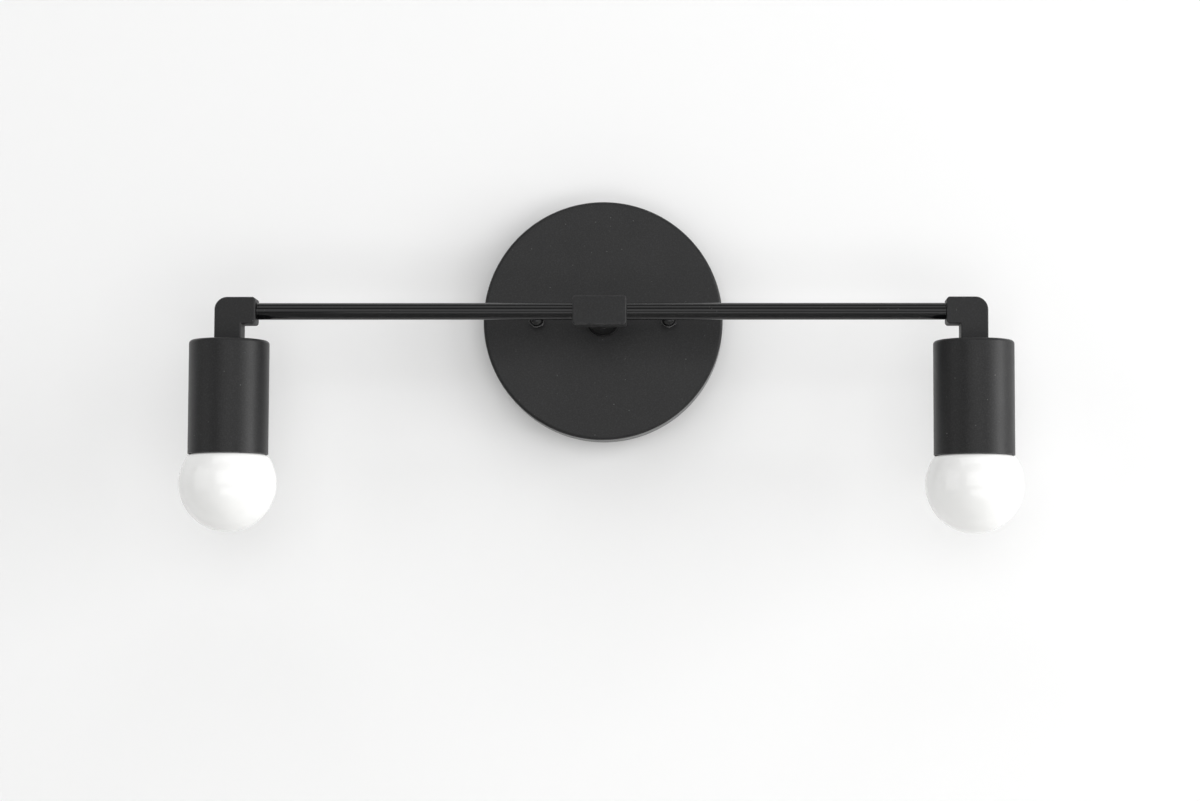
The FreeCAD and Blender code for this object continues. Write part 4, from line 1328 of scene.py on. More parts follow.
@dataclass
class Stem:
    """Pipe from canopy to block, with the ring, spacer, collar, washer and nut on it."""

    nut_height: float = 3.4
    spacer_wall: float = 2.4
    bore_edge: float = 0.1
    ring_edges: tuple[float, float] = (0.5, 0.15)
    spacer_edges: tuple[float, float] = (0.4, 0.2)
    collar_edges: tuple[float, float] = (0.2, 0.2)
    washer_teeth: int = 12
    tooth_share: float = 0.55
    tooth_step: float = 0.3
    washer_segments: int = 240

    def ring(self, node: str, bore: float, near_edge: float, far_edge: float) -> bpy.types.Mesh:
        """Round ring or tube on the stem.

        Args:
            node: CAD node that gives its radius and length.
            bore: Radius of its hole.
            near_edge: Rounding of its outer edge on the block's side.
            far_edge: Rounding of its outer edge on the wall's side.

        Returns:
            The mesh, in millimetres.
        """
        radius = highest(node).x
        start = -highest(node).y
        end = -lowest(node).y
        corners = [(bore, start, self.bore_edge), (radius, start, far_edge),
                   (radius, start + far_edge * 2, 0), (radius, end - near_edge * 2, 0),
                   (radius, end, near_edge), (bore, end, self.bore_edge)]
        return placed(turned(rounded(corners)), facing=Facing.OUT)

    def lock_washer(self) -> bpy.types.Mesh:
        """Washer with teeth round its outside.

        Returns:
            The mesh, in millimetres.
        """
        low = -highest("stem_lock_washer").y
        high = -lowest("stem_lock_washer").y
        radius = highest("stem_lock_washer").x
        root = (radius + PIPE.hole) / 2
        inside = root - self.tooth_step

        def teeth(angle: float, level: float) -> float:
            """Drop of the outline between two teeth."""
            share = (angle / FULL_TURN * self.washer_teeth) % 1
            return 0.0 if share < self.tooth_share else root - radius
        outline = [(PIPE.hole, low), (inside, low), (radius, low, 1.0), (radius, high, 1.0),
                   (inside, high), (PIPE.hole, high)]
        return placed(turned(outline, self.washer_segments, teeth), facing=Facing.OUT)

    def build(self) -> None:
        """Make the pipe and the pieces on it."""
        start = highest("stem_nipple").y
        pipe = placed(PIPE.cut(start - lowest("stem_nipple").y), (0, start, 0), Facing.OUT)
        put("stem_pipe", pipe, FINISHES.zinc, nodes=["stem_nipple"], sharp=THREAD_SHARP)
        nut = placed(PIPE.nut(self.nut_height), (0, highest("stem_lock_nut").y, 0), Facing.OUT)
        put("stem_nut", nut, FINISHES.zinc, nodes=["stem_lock_nut"])
        put("stem_toothed_washer", self.lock_washer(), FINISHES.zinc, nodes=["stem_lock_washer"])
        spacer_bore = highest("stem_spacer").x - self.spacer_wall
        for name, node, bore, edges in (("stem_base_ring", "stem_check_ring", PIPE.hole, self.ring_edges),
                                        ("stem_tube", "stem_spacer", spacer_bore, self.spacer_edges),
                                        ("stem_collar", "stem_seat_washer", PIPE.hole, self.collar_edges)):
            put(name, self.ring(node, bore, *edges), FINISHES.hardware, nodes=[node])


@dataclass
class CenterBlock:
    """Small square block between the arms."""

    corner_radius: float = 1.8
    edge: float = 0.7
    edge_steps: int = 5
    arm_hole: float = 4.4
    pipe_depth: float = 5.0

    def build(self) -> None:
        """Make the block with its two arm holes and the hole for the stem."""
        low = lowest("center_block")
        high = highest("center_block")
        back = (0, high.y, 0)
        axis = (0, (low.y + high.y) / 2, 0)
        outline = rounded(box_corners(low.x, low.z, high.x, high.z, self.corner_radius))
        body = placed(pressed(outline, high.y - low.y, self.edge, self.edge_steps), back, Facing.OUT)
        along = placed(drill(self.arm_hole, low.x - OVERRUN, high.x + OVERRUN), axis, Facing.ALONG)
        inward = placed(drill(PIPE.hole, -OVERRUN, self.pipe_depth), back, Facing.OUT)
        block = combined(body, [along, inward])
        put("center_square_block", block, FINISHES.machined, nodes=["center_block"])


@dataclass
class Arm:
    """Round tube from the block to one elbow, and the elbow."""

    side: Side
    tube_edge: float = 0.15
    tube_land: float = 1.0
    tube_wall: float = 1.0
    tube_steps: int = 4
    tube_segments: int = 128
    elbow_side: float = 13.8
    outer_radius: float = 6.6
    corner_radius: float = 1.6
    inner_radius: float = 0.25
    edge: float = 0.7
    edge_steps: int = 5
    bend_steps: int = 14
    mouth_depth: float = 7.4
    pipe_depth: float = 7.2
    mouth_play: float = 0.05

    def __post_init__(self) -> None:
        """Take the tube's ends and its radius from the frame."""
        self.low = lowest(self.side.word + "_arm_tube")
        self.high = highest(self.side.word + "_arm_tube")
        self.radius = (self.high.z - self.low.z) / 2

    def tube(self) -> bpy.types.Mesh:
        """Thin round tube along X.

        Returns:
            The mesh, in millimetres.
        """
        low, high, edge = self.low.x, self.high.x, self.tube_edge
        bore = self.radius - self.tube_wall
        corners = [(bore, low, edge), (self.radius, low, edge), (self.radius, low + self.tube_land, 0),
                   (self.radius, high - self.tube_land, 0), (self.radius, high, edge), (bore, high, edge)]
        place = (0, middle(self.side.word + "_arm_tube").y, 0)
        return placed(turned(rounded(corners, self.tube_steps), self.tube_segments), place, Facing.ALONG)

    def elbow(self) -> bpy.types.Mesh:
        """Square elbow with a round outer corner, bored for the tube, the wires and the cup's pipe.

        Returns:
            The mesh, in millimetres.
        """
        node = self.side.word + "_elbow"
        half = self.elbow_side / 2
        lamp = middle(self.side.word + "_socket_cup")
        sign = self.side.value
        reach = (highest(node).x - lowest(node).x) - half
        bottom = lowest(node).z
        corners = [(-reach, half, self.corner_radius), (-reach, -half, self.corner_radius),
                   (-half, -half, self.inner_radius), (-half, bottom, self.corner_radius),
                   (half, bottom, self.corner_radius), (half, half, self.outer_radius)]
        outline = [(sign * across, along) for across, along in rounded(corners, self.bend_steps)]
        plate = pressed(outline, self.elbow_side, self.edge, self.edge_steps)
        body = placed(plate, (0, half, 0), Facing.OUT)
        mouth = sorted((sign * (-reach - OVERRUN), sign * (-reach + self.mouth_depth)))
        passage = sorted((sign * (-reach), 0.0))
        tools = [
            placed(drill(self.radius + self.mouth_play, *mouth), facing=Facing.ALONG),
            placed(drill(PIPE.bore, *passage), facing=Facing.ALONG),
            drill(PIPE.hole, bottom - OVERRUN, bottom + self.pipe_depth),
            drill(PIPE.bore, bottom, 0),
        ]
        return placed(combined(body, tools), (lamp.x, lamp.y, 0))

    def build(self) -> None:
        """Make the tube and its elbow."""
        word = self.side.word
        put(word + "_arm", self.tube(), FINISHES.satin, nodes=[word + "_arm_tube"])
        put(word + "_square_elbow", self.elbow(), FINISHES.machined, nodes=[word + "_elbow"])


@dataclass
class SocketCup:
    """Straight round cup under an elbow, with the pipe and nut that hold it."""

    side: Side
    sheet: float = 0.9
    top_edge: float = 1.8
    rim_edge: float = 0.3
    rim_land: float = 1.0
    hole: float = 5.4
    hole_edge: float = 0.15
    bend_steps: int = 10

    def cup(self, low: Vector, high: Vector) -> bpy.types.Mesh:
        """Drawn cup, open below, with a hole in its top, on the Z axis.

        Args:
            low: Lowest corner of the cup's box.
            high: Highest corner of that box.

        Returns:
            The mesh, in millimetres.
        """
        radius = (high.x - low.x) / 2
        inner = radius - self.sheet
        ceiling = high.z - self.sheet
        bend = self.top_edge * BEND_SPAN
        land = low.z + self.rim_land
        corners = [
            (self.hole, high.z, self.hole_edge), (radius - bend, high.z, 0),
            (radius, high.z, self.top_edge), (radius, high.z - bend, 0), (radius, land, 0),
            (radius, low.z, self.rim_edge), (inner, low.z, self.rim_edge), (inner, land, 0),
            (inner, ceiling - self.top_edge, 0), (inner, ceiling, self.top_edge - self.sheet),
            (self.hole, ceiling, self.hole_edge),
        ]
        return turned(rounded(corners, self.bend_steps))

    def build(self) -> None:
        """Make the cup, the pipe and the nut."""
        word = self.side.word
        axis = middle(word + "_socket_cup")
        cup = self.cup(lowest(word + "_socket_cup"), highest(word + "_socket_cup"))
        put(word + "_cup", placed(cup, (axis.x, axis.y, 0)), FINISHES.coat, nodes=[word + "_socket_cup"])
        for name, node, stock, sharp in (("_cup_pipe", word + "_cup_nipple", PIPE.cut, THREAD_SHARP),
                                         ("_cup_nut", word + "_cup_lock_nut", PIPE.nut, SHARP)):
            low = lowest(node).z
            mesh = placed(stock(highest(node).z - low), (axis.x, axis.y, low))
            put(word + name, mesh, FINISHES.zinc, nodes=[node], sharp=sharp)


@dataclass
class Lampholder:
    """Moulded holder with its threaded shell, tongue, rivets, bracket and screws."""

    side: Side
    sheet: float = 0.45
    thread_radius: float = 12.95
    flare_inner: float = 13.5
    flare_length: float = 2.8
    flange_bore: float = 7.5
    floor: float = 4.5
    mouth_radius: float = 15.7
    mouth_depth: float = 3.2
    bore_play: float = 0.1
    edge: float = 0.8
    top_edge: float = 0.4
    lip_edge: float = 0.3
    step_edge: float = 0.2
    bend_steps: int = 6
    body_segments: int = 128
    hole_segments: int = 32
    hole_play: float = 0.05
    rivet_radius: float = 1.25
    rivet_head: float = 2.1
    rivet_head_height: float = 0.8
    rivet_crown: float = 0.5
    rivet_seat: float = 0.05
    rivet_segments: int = 48
    tongue_rivet: float = 4.4
    shell_rivet: float = 10.3
    tongue_width: float = 5.6
    tongue_sheet: float = 0.5
    tongue_root: float = 4.6
    tongue_ramp: float = 4.2
    tongue_tip: float = 3.4
    tongue_outer_bend: float = 1.2
    tongue_inner_bend: float = 0.8
    tongue_edge: float = 0.08
    strip_steps: int = 2
    bracket_sheet: float = 1.2
    bracket_span: float = 12.9
    bracket_foot: float = 4.6
    bracket_width: float = 11.0
    bracket_edge: float = 0.15
    bracket_outer_bend: float = 1.92
    bracket_inner_bend: float = 0.72
    foot_inner_bend: float = 0.4
    foot_outer_bend: float = 1.56
    screw_radius: float = 1.5
    screw_length: float = 8.0
    screw_pitch: float = 0.6
    screw_play: float = 0.04
    screw_room: float = 0.3
    screw_head: float = 2.2
    screw_head_height: float = 1.6
    screw_slot: tuple[float, float] = (0.6, 0.7)
    screw_edge: float = 0.7
    wire_radius: float = 1.15
    wire_offset: float = 1.2
    wire_place: float = 7.0
    wire_depth: float = 3.0

    def __post_init__(self) -> None:
        """Take the holder's levels from the frame."""
        body = self.side.word + "_socket_body"
        self.axis = middle(body)
        self.top = highest(body).z
        self.mouth = lowest(body).z
        self.radius = (highest(body).x - lowest(body).x) / 2
        self.ceiling = self.top - self.floor
        self.bore = self.flare_inner + self.sheet + self.bore_play
        self.screw_places = tuple((sign * (self.bore + self.radius) / 2, 0, 0) for sign in (-1, 1))

    def on_axis(self, mesh: bpy.types.Mesh) -> bpy.types.Mesh:
        """Move a mesh from the Z axis to the lamp's."""
        return placed(mesh, (self.axis.x, self.axis.y, 0))

    def small_hole(self, radius: float, low: float, high: float, place: Sequence[float]) -> bpy.types.Mesh:
        """Cutter for a small upright hole."""
        return placed(drill(radius, low, high, self.hole_segments), place)

    def rivet_places(self) -> tuple[Place, Place]:
        """Places of the tongue's rivet and the shell's, which sits on a diagonal."""
        diagonal = self.shell_rivet * math.sqrt(0.5)
        return (-self.tongue_rivet, 0, 0), (diagonal, diagonal, 0)

    def body(self) -> bpy.types.Mesh:
        """Moulded body with its bore, mouth and small holes.

        Returns:
            The mesh, in millimetres.
        """
        step = self.mouth + self.mouth_depth
        corners = [
            (0, self.top, 0), (self.radius, self.top, self.top_edge), (self.radius, self.mouth, self.edge),
            (self.mouth_radius, self.mouth, self.lip_edge), (self.mouth_radius, step, self.step_edge),
            (self.bore, step, self.step_edge), (self.bore, self.ceiling, self.lip_edge),
            (0, self.ceiling, 0),
        ]
        above = self.top + OVERRUN
        rivet_hole = self.rivet_radius + self.hole_play
        tools = [self.small_hole(rivet_hole, self.ceiling - OVERRUN, above, place)
                 for place in self.rivet_places()]
        screw_end = self.top + self.bracket_sheet - self.screw_length - self.screw_room
        for role, place in zip((-1, 1), self.screw_places):
            wire_place = (self.side.value * role * self.wire_offset, -role * self.wire_place, 0)
            tools.append(self.small_hole(self.wire_radius, self.top - self.wire_depth, above, wire_place))
            tools.append(self.small_hole(self.screw_radius + self.screw_play, screw_end, above, place))
        solid = turned(rounded(corners, self.bend_steps), self.body_segments)
        return self.on_axis(combined(solid, tools))

    def shell(self) -> bpy.types.Mesh:
        """Brass shell with the lamp thread, a flange above and a plain flare at its mouth.

        Returns:
            The mesh, in millimetres.
        """
        mouth = lowest(self.side.word + "_socket_shell").z
        start = mouth + self.flare_length
        flare_outer = self.flare_inner + self.sheet
        flange = self.ceiling - self.sheet
        outline: list[Sequence[float]] = [(self.flare_inner, mouth), (flare_outer, mouth),
                                          (flare_outer, start + self.sheet)]
        outline += LAMP_THREAD.climb(self.thread_radius + self.sheet, start + self.sheet, self.ceiling)
        outline += [(self.flange_bore, self.ceiling), (self.flange_bore, flange)]
        outline += LAMP_THREAD.climb(self.thread_radius, flange, start)
        outline += [(self.flare_inner, start)]
        return self.on_axis(LAMP_THREAD.roll(outline, self.thread_radius))

    def tongue(self) -> bpy.types.Mesh:
        """Springy contact bent down from the floor to the bulb.

        Returns:
            The mesh, in millimetres.
        """
        low = lowest(self.side.word + "_center_contact").z
        root = -self.tongue_rivet - self.tongue_root / 2
        ramp = root + self.tongue_root
        tip = ramp + self.tongue_ramp
        end = tip + self.tongue_tip
        high = low + self.tongue_sheet
        under = self.ceiling - self.tongue_sheet
        corners = [(root, self.ceiling, 0), (ramp, self.ceiling, self.tongue_outer_bend),
                   (tip, high, self.tongue_inner_bend), (end, high, 0), (end, low, 0),
                   (tip, low, self.tongue_outer_bend), (ramp, under, self.tongue_inner_bend),
                   (root, under, 0)]
        strip = pressed(rounded(corners), self.tongue_width, self.tongue_edge, self.strip_steps)
        hole = self.small_hole(self.rivet_radius + self.hole_play, self.ceiling - OVERRUN,
                               self.ceiling + OVERRUN, (-self.tongue_rivet, 0, 0))
        return self.on_axis(combined(placed(strip, (0, self.tongue_width / 2, 0), Facing.OUT), [hole]))

    def rivets(self) -> bpy.types.Mesh:
        """Two rivets through the floor.

        Returns:
            The mesh, in millimetres.
        """
        made = []
        head, shank, height = self.rivet_head, self.rivet_radius, self.rivet_head_height
        for place, sheet in zip(self.rivet_places(), (self.tongue_sheet, self.sheet)):
            low = self.ceiling - sheet
            corners = [(0, low - height, 0), (head, low - height, self.rivet_crown),
                       (head, low, self.rivet_seat), (shank, low, 0), (shank, self.top, 0),
                       (head, self.top, self.rivet_seat), (head, self.top + height, self.rivet_crown),
                       (0, self.top + height, 0)]
            made.append(placed(turned(rounded(corners, self.bend_steps), self.rivet_segments), place))
        return self.on_axis(joined(made))

    def bracket(self) -> bpy.types.Mesh:
        """Bridge of bent strip from the cup's top to the holder.

        Returns:
            The mesh, in millimetres.
        """
        plate = highest(self.side.word + "_socket_bracket").z
        sheet = self.bracket_sheet
        span = self.bracket_span
        foot = span + self.bracket_foot
        seat = self.top + sheet
        half = [(span, plate, self.bracket_outer_bend), (span, seat, self.foot_inner_bend),
                (foot, seat, 0), (foot, self.top, 0), (span - sheet, self.top, self.foot_outer_bend),
                (span - sheet, plate - sheet, self.bracket_inner_bend)]
        corners = half + [(-across, along, radius) for across, along, radius in reversed(half)]
        strip = pressed(rounded(corners), self.bracket_width, self.bracket_edge, self.strip_steps)
        strip = placed(strip, (0, self.bracket_width / 2, 0), Facing.OUT)
        past = OVERRUN / 2
        tools = [drill(PIPE.hole, plate - sheet - OVERRUN, plate + OVERRUN)]
        tools += [self.small_hole(self.screw_radius + self.hole_play, self.top - past, seat + past, place)
                  for place in self.screw_places]
        round_end = drill(self.radius, self.top - past, plate + past, self.body_segments)
        return self.on_axis(combined(combined(strip, [round_end], "INTERSECT"), tools))

    def screws(self) -> bpy.types.Mesh:
        """Two screws through the bracket's feet.

        Returns:
            The mesh, in millimetres.
        """
        made = []
        seat = self.top + self.bracket_sheet
        for across, *_ in self.screw_places:
            head = screw_head(self.screw_head, self.screw_head_height, *self.screw_slot, self.screw_edge)
            shank = ThreadedRod(self.screw_radius, self.screw_length + self.screw_play, self.screw_pitch,
                                segments=self.hole_segments)
            made.append(placed(head, (across, 0, seat)))
            made.append(placed(shank.mesh(), (across, 0, seat - self.screw_length)))
        return self.on_axis(joined(made))

    def build(self) -> None:
        """Make every piece of the holder."""
        for name, mesh, finish, node, sharp in (
                ("_holder_body", self.body(), FINISHES.phenolic, "_socket_body", SHARP),
                ("_threaded_shell", self.shell(), FINISHES.brass, "_socket_shell", LAMP_THREAD_SHARP),
                ("_contact_tongue", self.tongue(), FINISHES.brass, "_center_contact", SHARP),
                ("_holder_rivets", self.rivets(), FINISHES.brass, "_socket_rivets", SHARP),
                ("_holder_bracket", self.bracket(), FINISHES.zinc, "_socket_bracket", SHARP),
                ("_holder_screws", self.screws(), FINISHES.zinc, "_bracket_screws", THREAD_SHARP)):
            put(self.side.word + name, mesh, finish, nodes=[self.side.word + node], sharp=sharp)


@dataclass
class Bulb:
    """Opal globe bulb that screws into a holder."""

    side: Side
    radius: float = 25.0
    glass: float = 0.8
    shoulder_start: float = 30.0
    shoulder_end: float = 60.0
    arc_steps: tuple[int, int, int] = (56, 14, 18)
    rim_pass: float = 19.35
    neck_radius: float = 12.65
    skirt_radius: float = 13.1
    skirt_height: float = 3.6
    skirt_edge: tuple[float, float] = (0.1, 0.15)
    cap_sheet: float = 0.4
    flange: float = 0.5
    thread_radius: float = 12.65
    insulator_radius: float = 11.2
    insulator_tip: float = 5.4
    insulator_rise: float = 2.6
    insulator_depth: float = 0.9
    insulator_edges: tuple[float, ...] = (0.3, 0.4, 0.2, 0.1)
    eyelet_depth: float = 0.7
    eyelet_edges: tuple[float, float] = (0.1, 0.4)
    dimple_shares: tuple[float, float] = (0.55, 0.45)
    dimple_bend: float = 0.3
    dimple_depths: tuple[float, float] = (0.25, 0.1)
    fit: float = 0.05
    bend_steps: int = 6
    small_segments: int = 96

    def __post_init__(self) -> None:
        """Take the bulb's levels from the frame."""
        word = self.side.word
        self.axis = middle(word + "_bulb_globe")
        self.centre = lowest(word + "_bulb_globe").z + self.radius
        self.neck_top = highest(word + "_bulb_globe").z
        self.cap_bottom = lowest(word + "_bulb_cap").z
        self.cap_top = highest(word + "_bulb_cap").z
        self.eyelet_low = lowest(word + "_bulb_contact")
        self.eyelet_high = highest(word + "_bulb_contact")
        self.eyelet_radius = (self.eyelet_high.x - self.eyelet_low.x) / 2

    def on_axis(self, mesh: bpy.types.Mesh) -> bpy.types.Mesh:
        """Move a mesh from the Z axis to the bulb's."""
        return placed(mesh, (self.axis.x, self.axis.y, 0))

    def glass_outline(self, inset: float) -> list[Point]:
        """Outline of the glass from the pole to the neck, moved inwards by an inset.

        Args:
            inset: Distance from the outer face.

        Returns:
            The points of the outline.
        """
        start = math.radians(self.shoulder_start)
        end = math.radians(self.shoulder_end)
        edge = self.radius * math.cos(start)
        shoulder = (edge - self.rim_pass) / (math.cos(start) - math.cos(end))
        shoulder_x = edge - shoulder * math.cos(start)
        shoulder_z = (self.radius - shoulder) * math.sin(start)
        throat = (self.rim_pass - self.neck_radius) / (1 - math.cos(end))
        throat_x = shoulder_x + (shoulder + throat) * math.cos(end)
        throat_z = shoulder_z + (shoulder + throat) * math.sin(end)
        arcs = ((0, 0, self.radius - inset, -QUARTER_TURN, start),
                (shoulder_x, shoulder_z, shoulder - inset, start, end),
                (throat_x, throat_z, throat + inset, math.pi + end, math.pi))
        points: list[Point] = []
        for (across, along, reach, first, last), steps in zip(arcs, self.arc_steps):
            for step in range(1 if points else 0, steps + 1):
                angle = first + (last - first) * step / steps
                points.append((across + reach * math.cos(angle),
                               self.centre + along + reach * math.sin(angle)))
        points[0] = (0.0, points[0][1])
        return points

    def globe(self) -> bpy.types.Mesh:
        """Glass globe with its neck, open at the top.

        Returns:
            The mesh, in millimetres.
        """
        outer = self.glass_outline(0)
        inner = self.glass_outline(self.glass)
        mouth = [(self.neck_radius, self.neck_top), (self.neck_radius - self.glass, self.neck_top)]
        return self.on_axis(turned(outer + mouth + inner[::-1]))

    def cap(self) -> bpy.types.Mesh:
        """Rolled metal cap with the lamp thread, a skirt and a flange round the insulator.

        Returns:
            The mesh, in millimetres.
        """
        skirt_top = self.cap_bottom + self.skirt_height
        skirt_step = skirt_top - self.cap_sheet
        thin = self.skirt_radius - self.cap_sheet
        inward, along = self.skirt_edge
        pocket = self.insulator_radius + self.fit
        flange = self.cap_top - self.flange
        outline: list[Sequence[float]] = [
            (thin, self.cap_bottom), (self.skirt_radius - inward, self.cap_bottom),
            (self.skirt_radius, self.cap_bottom + along), (self.skirt_radius, skirt_top - along),
            (self.skirt_radius - inward, skirt_top)]
        outline += LAMP_THREAD.climb(self.thread_radius, skirt_top, self.cap_top)
        outline += [(pocket, self.cap_top), (pocket, flange)]
        outline += LAMP_THREAD.climb(self.thread_radius - self.cap_sheet, flange, skirt_step)
        outline += [(thin, skirt_step)]
        return self.on_axis(LAMP_THREAD.roll(outline, self.thread_radius))

    def insulator(self) -> bpy.types.Mesh:
        """Dark glass cone with a pocket for the contact.

        Returns:
            The mesh, in millimetres.
        """
        tip = self.cap_top + self.insulator_rise
        base = self.cap_top - self.insulator_depth
        pocket = self.eyelet_radius + self.fit
        floor = tip - self.eyelet_depth
        outer, rim, nose, mouth = self.insulator_edges
        corners = [(0, base, 0), (self.insulator_radius, base, outer),
                   (self.insulator_radius, self.cap_top, rim), (self.insulator_tip, tip, nose),
                   (pocket, tip, mouth), (pocket, floor, 0), (0, floor, 0)]
        return self.on_axis(turned(rounded(corners, self.bend_steps), self.small_segments))

    def contact(self) -> bpy.types.Mesh:
        """Centre contact with a shallow dimple of solder.

        Returns:
            The mesh, in millimetres.
        """
        radius, low, high = self.eyelet_radius, self.eyelet_low.z, self.eyelet_high.z
        lip, foot = (radius * share for share in self.dimple_shares)
        deep, shallow = self.dimple_depths
        corners = [(0, low, 0), (radius, low, self.eyelet_edges[0]), (radius, high, self.eyelet_edges[1]),
                   (lip, high, self.dimple_bend), (foot, high - deep, self.dimple_bend),
                   (0, high - shallow, 0)]
        return self.on_axis(turned(rounded(corners, self.bend_steps), self.small_segments))

    def build(self) -> None:
        """Make every piece of the bulb on its bodies."""
        word = self.side.word
        bulb = word + "_bulb"
        put(word + "_opal_globe", self.globe(), FINISHES.opal, bulb, [bulb + "_globe"])
        put(word + "_threaded_cap", self.cap(), FINISHES.cap_metal, bulb, [bulb + "_cap"],
            LAMP_THREAD_SHARP)
        put(word + "_cap_insulator", self.insulator(), FINISHES.dark_glass, bulb, [bulb + "_insulator"])
        put(word + "_bulb_eyelet", self.contact(), FINISHES.brass, bulb + "_tip", [bulb + "_contact"])
        keep(bulb + "_stem", FINISHES.clear_glass)
        keep(bulb + "_filament", FINISHES.filament)


@dataclass
class Wiring:
    """Wires through the arms and stem, and the twist-on connectors in the canopy."""

    start: float = 18.0
    length: float = 20.0
    mouth_radius: float = 5.4
    mouth_edge: float = 0.3
    lip_height: float = 2.6
    lip_taper: float = 0.1
    tip_radius: float = 3.0
    tip_swell: float = 0.15
    tip_height: float = 1.6
    tip_steps: int = 7
    bore: float = 2.9
    bore_edge: float = 0.5
    bore_cone: float = 1.0
    bore_depth: float = 12.0
    ribs: int = 18
    rib_depth: float = 0.35
    rib_start: float = 3.2
    rib_room: float = 5.2
    rib_steps: int = 24
    rib_fades: tuple[int, int] = (3, 4)
    segments: int = 144

    def connector(self) -> bpy.types.Mesh:
        """Tapered cap with ribs for the fingers, open at its wide end.

        Returns:
            The mesh, in millimetres.
        """
        def ribbing(angle: float, level: float) -> float:
            """Groove between two ribs."""
            return -self.rib_depth * (0.5 - 0.5 * math.cos(angle * self.ribs)) ** 2
        slope = (self.tip_radius - self.mouth_radius) / self.length
        outline: list[Sequence[float]] = [
            (0, self.bore_depth), (self.bore, self.bore_depth - self.bore_cone),
            (self.bore, self.bore_edge), (self.bore + self.bore_edge, 0),
            (self.mouth_radius - self.mouth_edge, 0), (self.mouth_radius, self.mouth_edge),
            (self.mouth_radius - self.lip_taper, self.lip_height)]
        fade_in, fade_out = self.rib_fades
        for number in range(self.rib_steps + 1):
            level = self.rib_start + (self.length - self.rib_room) * number / self.rib_steps
            share = min(1.0, number / fade_in, (self.rib_steps - number) / fade_out)
            outline.append((self.mouth_radius + slope * level, level, share))
        radius = self.tip_radius + self.tip_swell
        for step in range(1, self.tip_steps):
            angle = QUARTER_TURN * step / self.tip_steps
            level = self.length - self.tip_height + self.tip_height * math.sin(angle)
            outline.append((radius * math.cos(angle), level))
        outline.append((0, self.length))
        return turned(outline, self.segments, ribbing)

    def build(self) -> None:
        """Make both connectors and finish the wires."""
        distance = middle("wire_connectors").y
        upper = placed(self.connector(), (0, distance, self.start), Facing.UP)
        lower = placed(self.connector(), (0, distance, -self.start), Facing.DOWN)
        put("twist_connectors", joined([upper, lower]), FINISHES.connector, nodes=["wire_connectors"])
        for side in Side:
            keep(side.word + "_hot_wire", FINISHES.black_wire)
            keep(side.word + "_neutral_wire", FINISHES.white_wire)


# surroundings


@dataclass
class Backdrop:
    """Pale wall behind the light and pale floor far below it, both seen from one side only."""

    wall_colour: Colour = (0.9, 0.9, 0.9)
    floor_colour: Colour = (0.55, 0.55, 0.54)
    floor_level: float = -1.3
    height: float = 1.7
    reach: float = 3.0
    box_opening: float = 0.05
    opening_points: int = 96
    gap: float = 0.0002
    grain_scale: float = 900.0
    grain_depth: float = 0.0001
    grain_strength: float = 0.1

    def material(self, name: str, colour: Colour) -> bpy.types.Material:
        """Matt paint that isn't there when seen from behind.

        Args:
            name: Name of the material.
            colour: Its colour.

        Returns:
            The material.
        """
        material = bpy.data.materials.new(name)
        material.use_nodes = True
        board = Board(material.node_tree)
        material.node_tree.nodes.clear()
        place = board.add("TexCoord").outputs["Object"]
        noise = board.add("TexNoise", {"Vector": place, "Scale": self.grain_scale,
                                       "Detail": 2.0}).outputs[0]
        bump = board.bump(self.grain_strength, self.grain_depth, noise)
        paint = board.add("BsdfDiffuse", {"Color": colour + (1,), "Normal": bump}).outputs[0]
        nothing = board.add("BsdfTransparent").outputs[0]
        behind = board.add("NewGeometry").outputs["Backfacing"]
        mixed = board.add("MixShader", {0: behind, 1: paint, 2: nothing}).outputs[0]
        board.add("OutputMaterial", {0: mixed})
        return material

    def build(self) -> None:
        """Make the wall with its round opening behind the canopy, and the floor."""
        form = bmesh.new()
        count = self.opening_points
        hole = []
        rim = []
        for number in range(count):
            angle = FULL_TURN * (number + 0.5) / count
            across, rise = math.cos(angle), math.sin(angle)
            hole.append(form.verts.new((across * self.box_opening, self.gap, rise * self.box_opening)))
            limit = self.height if rise > 0 else -self.floor_level
            scale = min(self.reach / max(abs(across), TINY), limit / max(abs(rise), TINY))
            rim.append(form.verts.new((across * scale, self.gap, rise * scale)))
        for here in range(count):
            there = (here + 1) % count
            form.faces.new((hole[here], rim[here], rim[there], hole[there]))
        for face in form.faces:
            face.normal_update()
            if face.normal.y > 0:
                face.normal_flip()
        self.finish_stage("stage_wall", form, self.material("pale_wall_paint", self.wall_colour))
        form = bmesh.new()
        corners = ((-self.reach, -self.reach), (self.reach, -self.reach), (self.reach, self.gap),
                   (-self.reach, self.gap))
        form.faces.new([form.verts.new((across, along, self.floor_level)) for across, along in corners])
        self.finish_stage("stage_floor", form, self.material("pale_floor", self.floor_colour))

    def finish_stage(self, name: str, form: bmesh.types.BMesh, material: bpy.types.Material) -> None:
        """Turn a form into a stage object.

        Args:
            name: Name of the object.
            form: Its form, which is used up.
            material: Its material.
        """
        mesh = bpy.data.meshes.new(name)
        form.to_mesh(mesh)
        form.free()
        mesh.materials.append(material)
        piece = bpy.data.objects.new(name, mesh)
        bpy.context.scene.collection.objects.link(piece)


@dataclass
class SoftLamp:
    """Square or oblong area lamp aimed at a point."""

    name: str
    place: Place
    aim: Place
    width: float
    height: float
    power: float

    def build(self) -> None:
        """Add the lamp to the scene."""
        data = bpy.data.lights.new(self.name, "AREA")
        data.shape = "RECTANGLE"
        data.size = self.width
        data.size_y = self.height
        data.energy = self.power
        lamp = bpy.data.objects.new(self.name, data)
        lamp.location = self.place
        lamp.rotation_euler = (Vector(self.aim) - Vector(self.place)).to_track_quat("-Z", "Y").to_euler()
        bpy.context.scene.collection.objects.link(lamp)


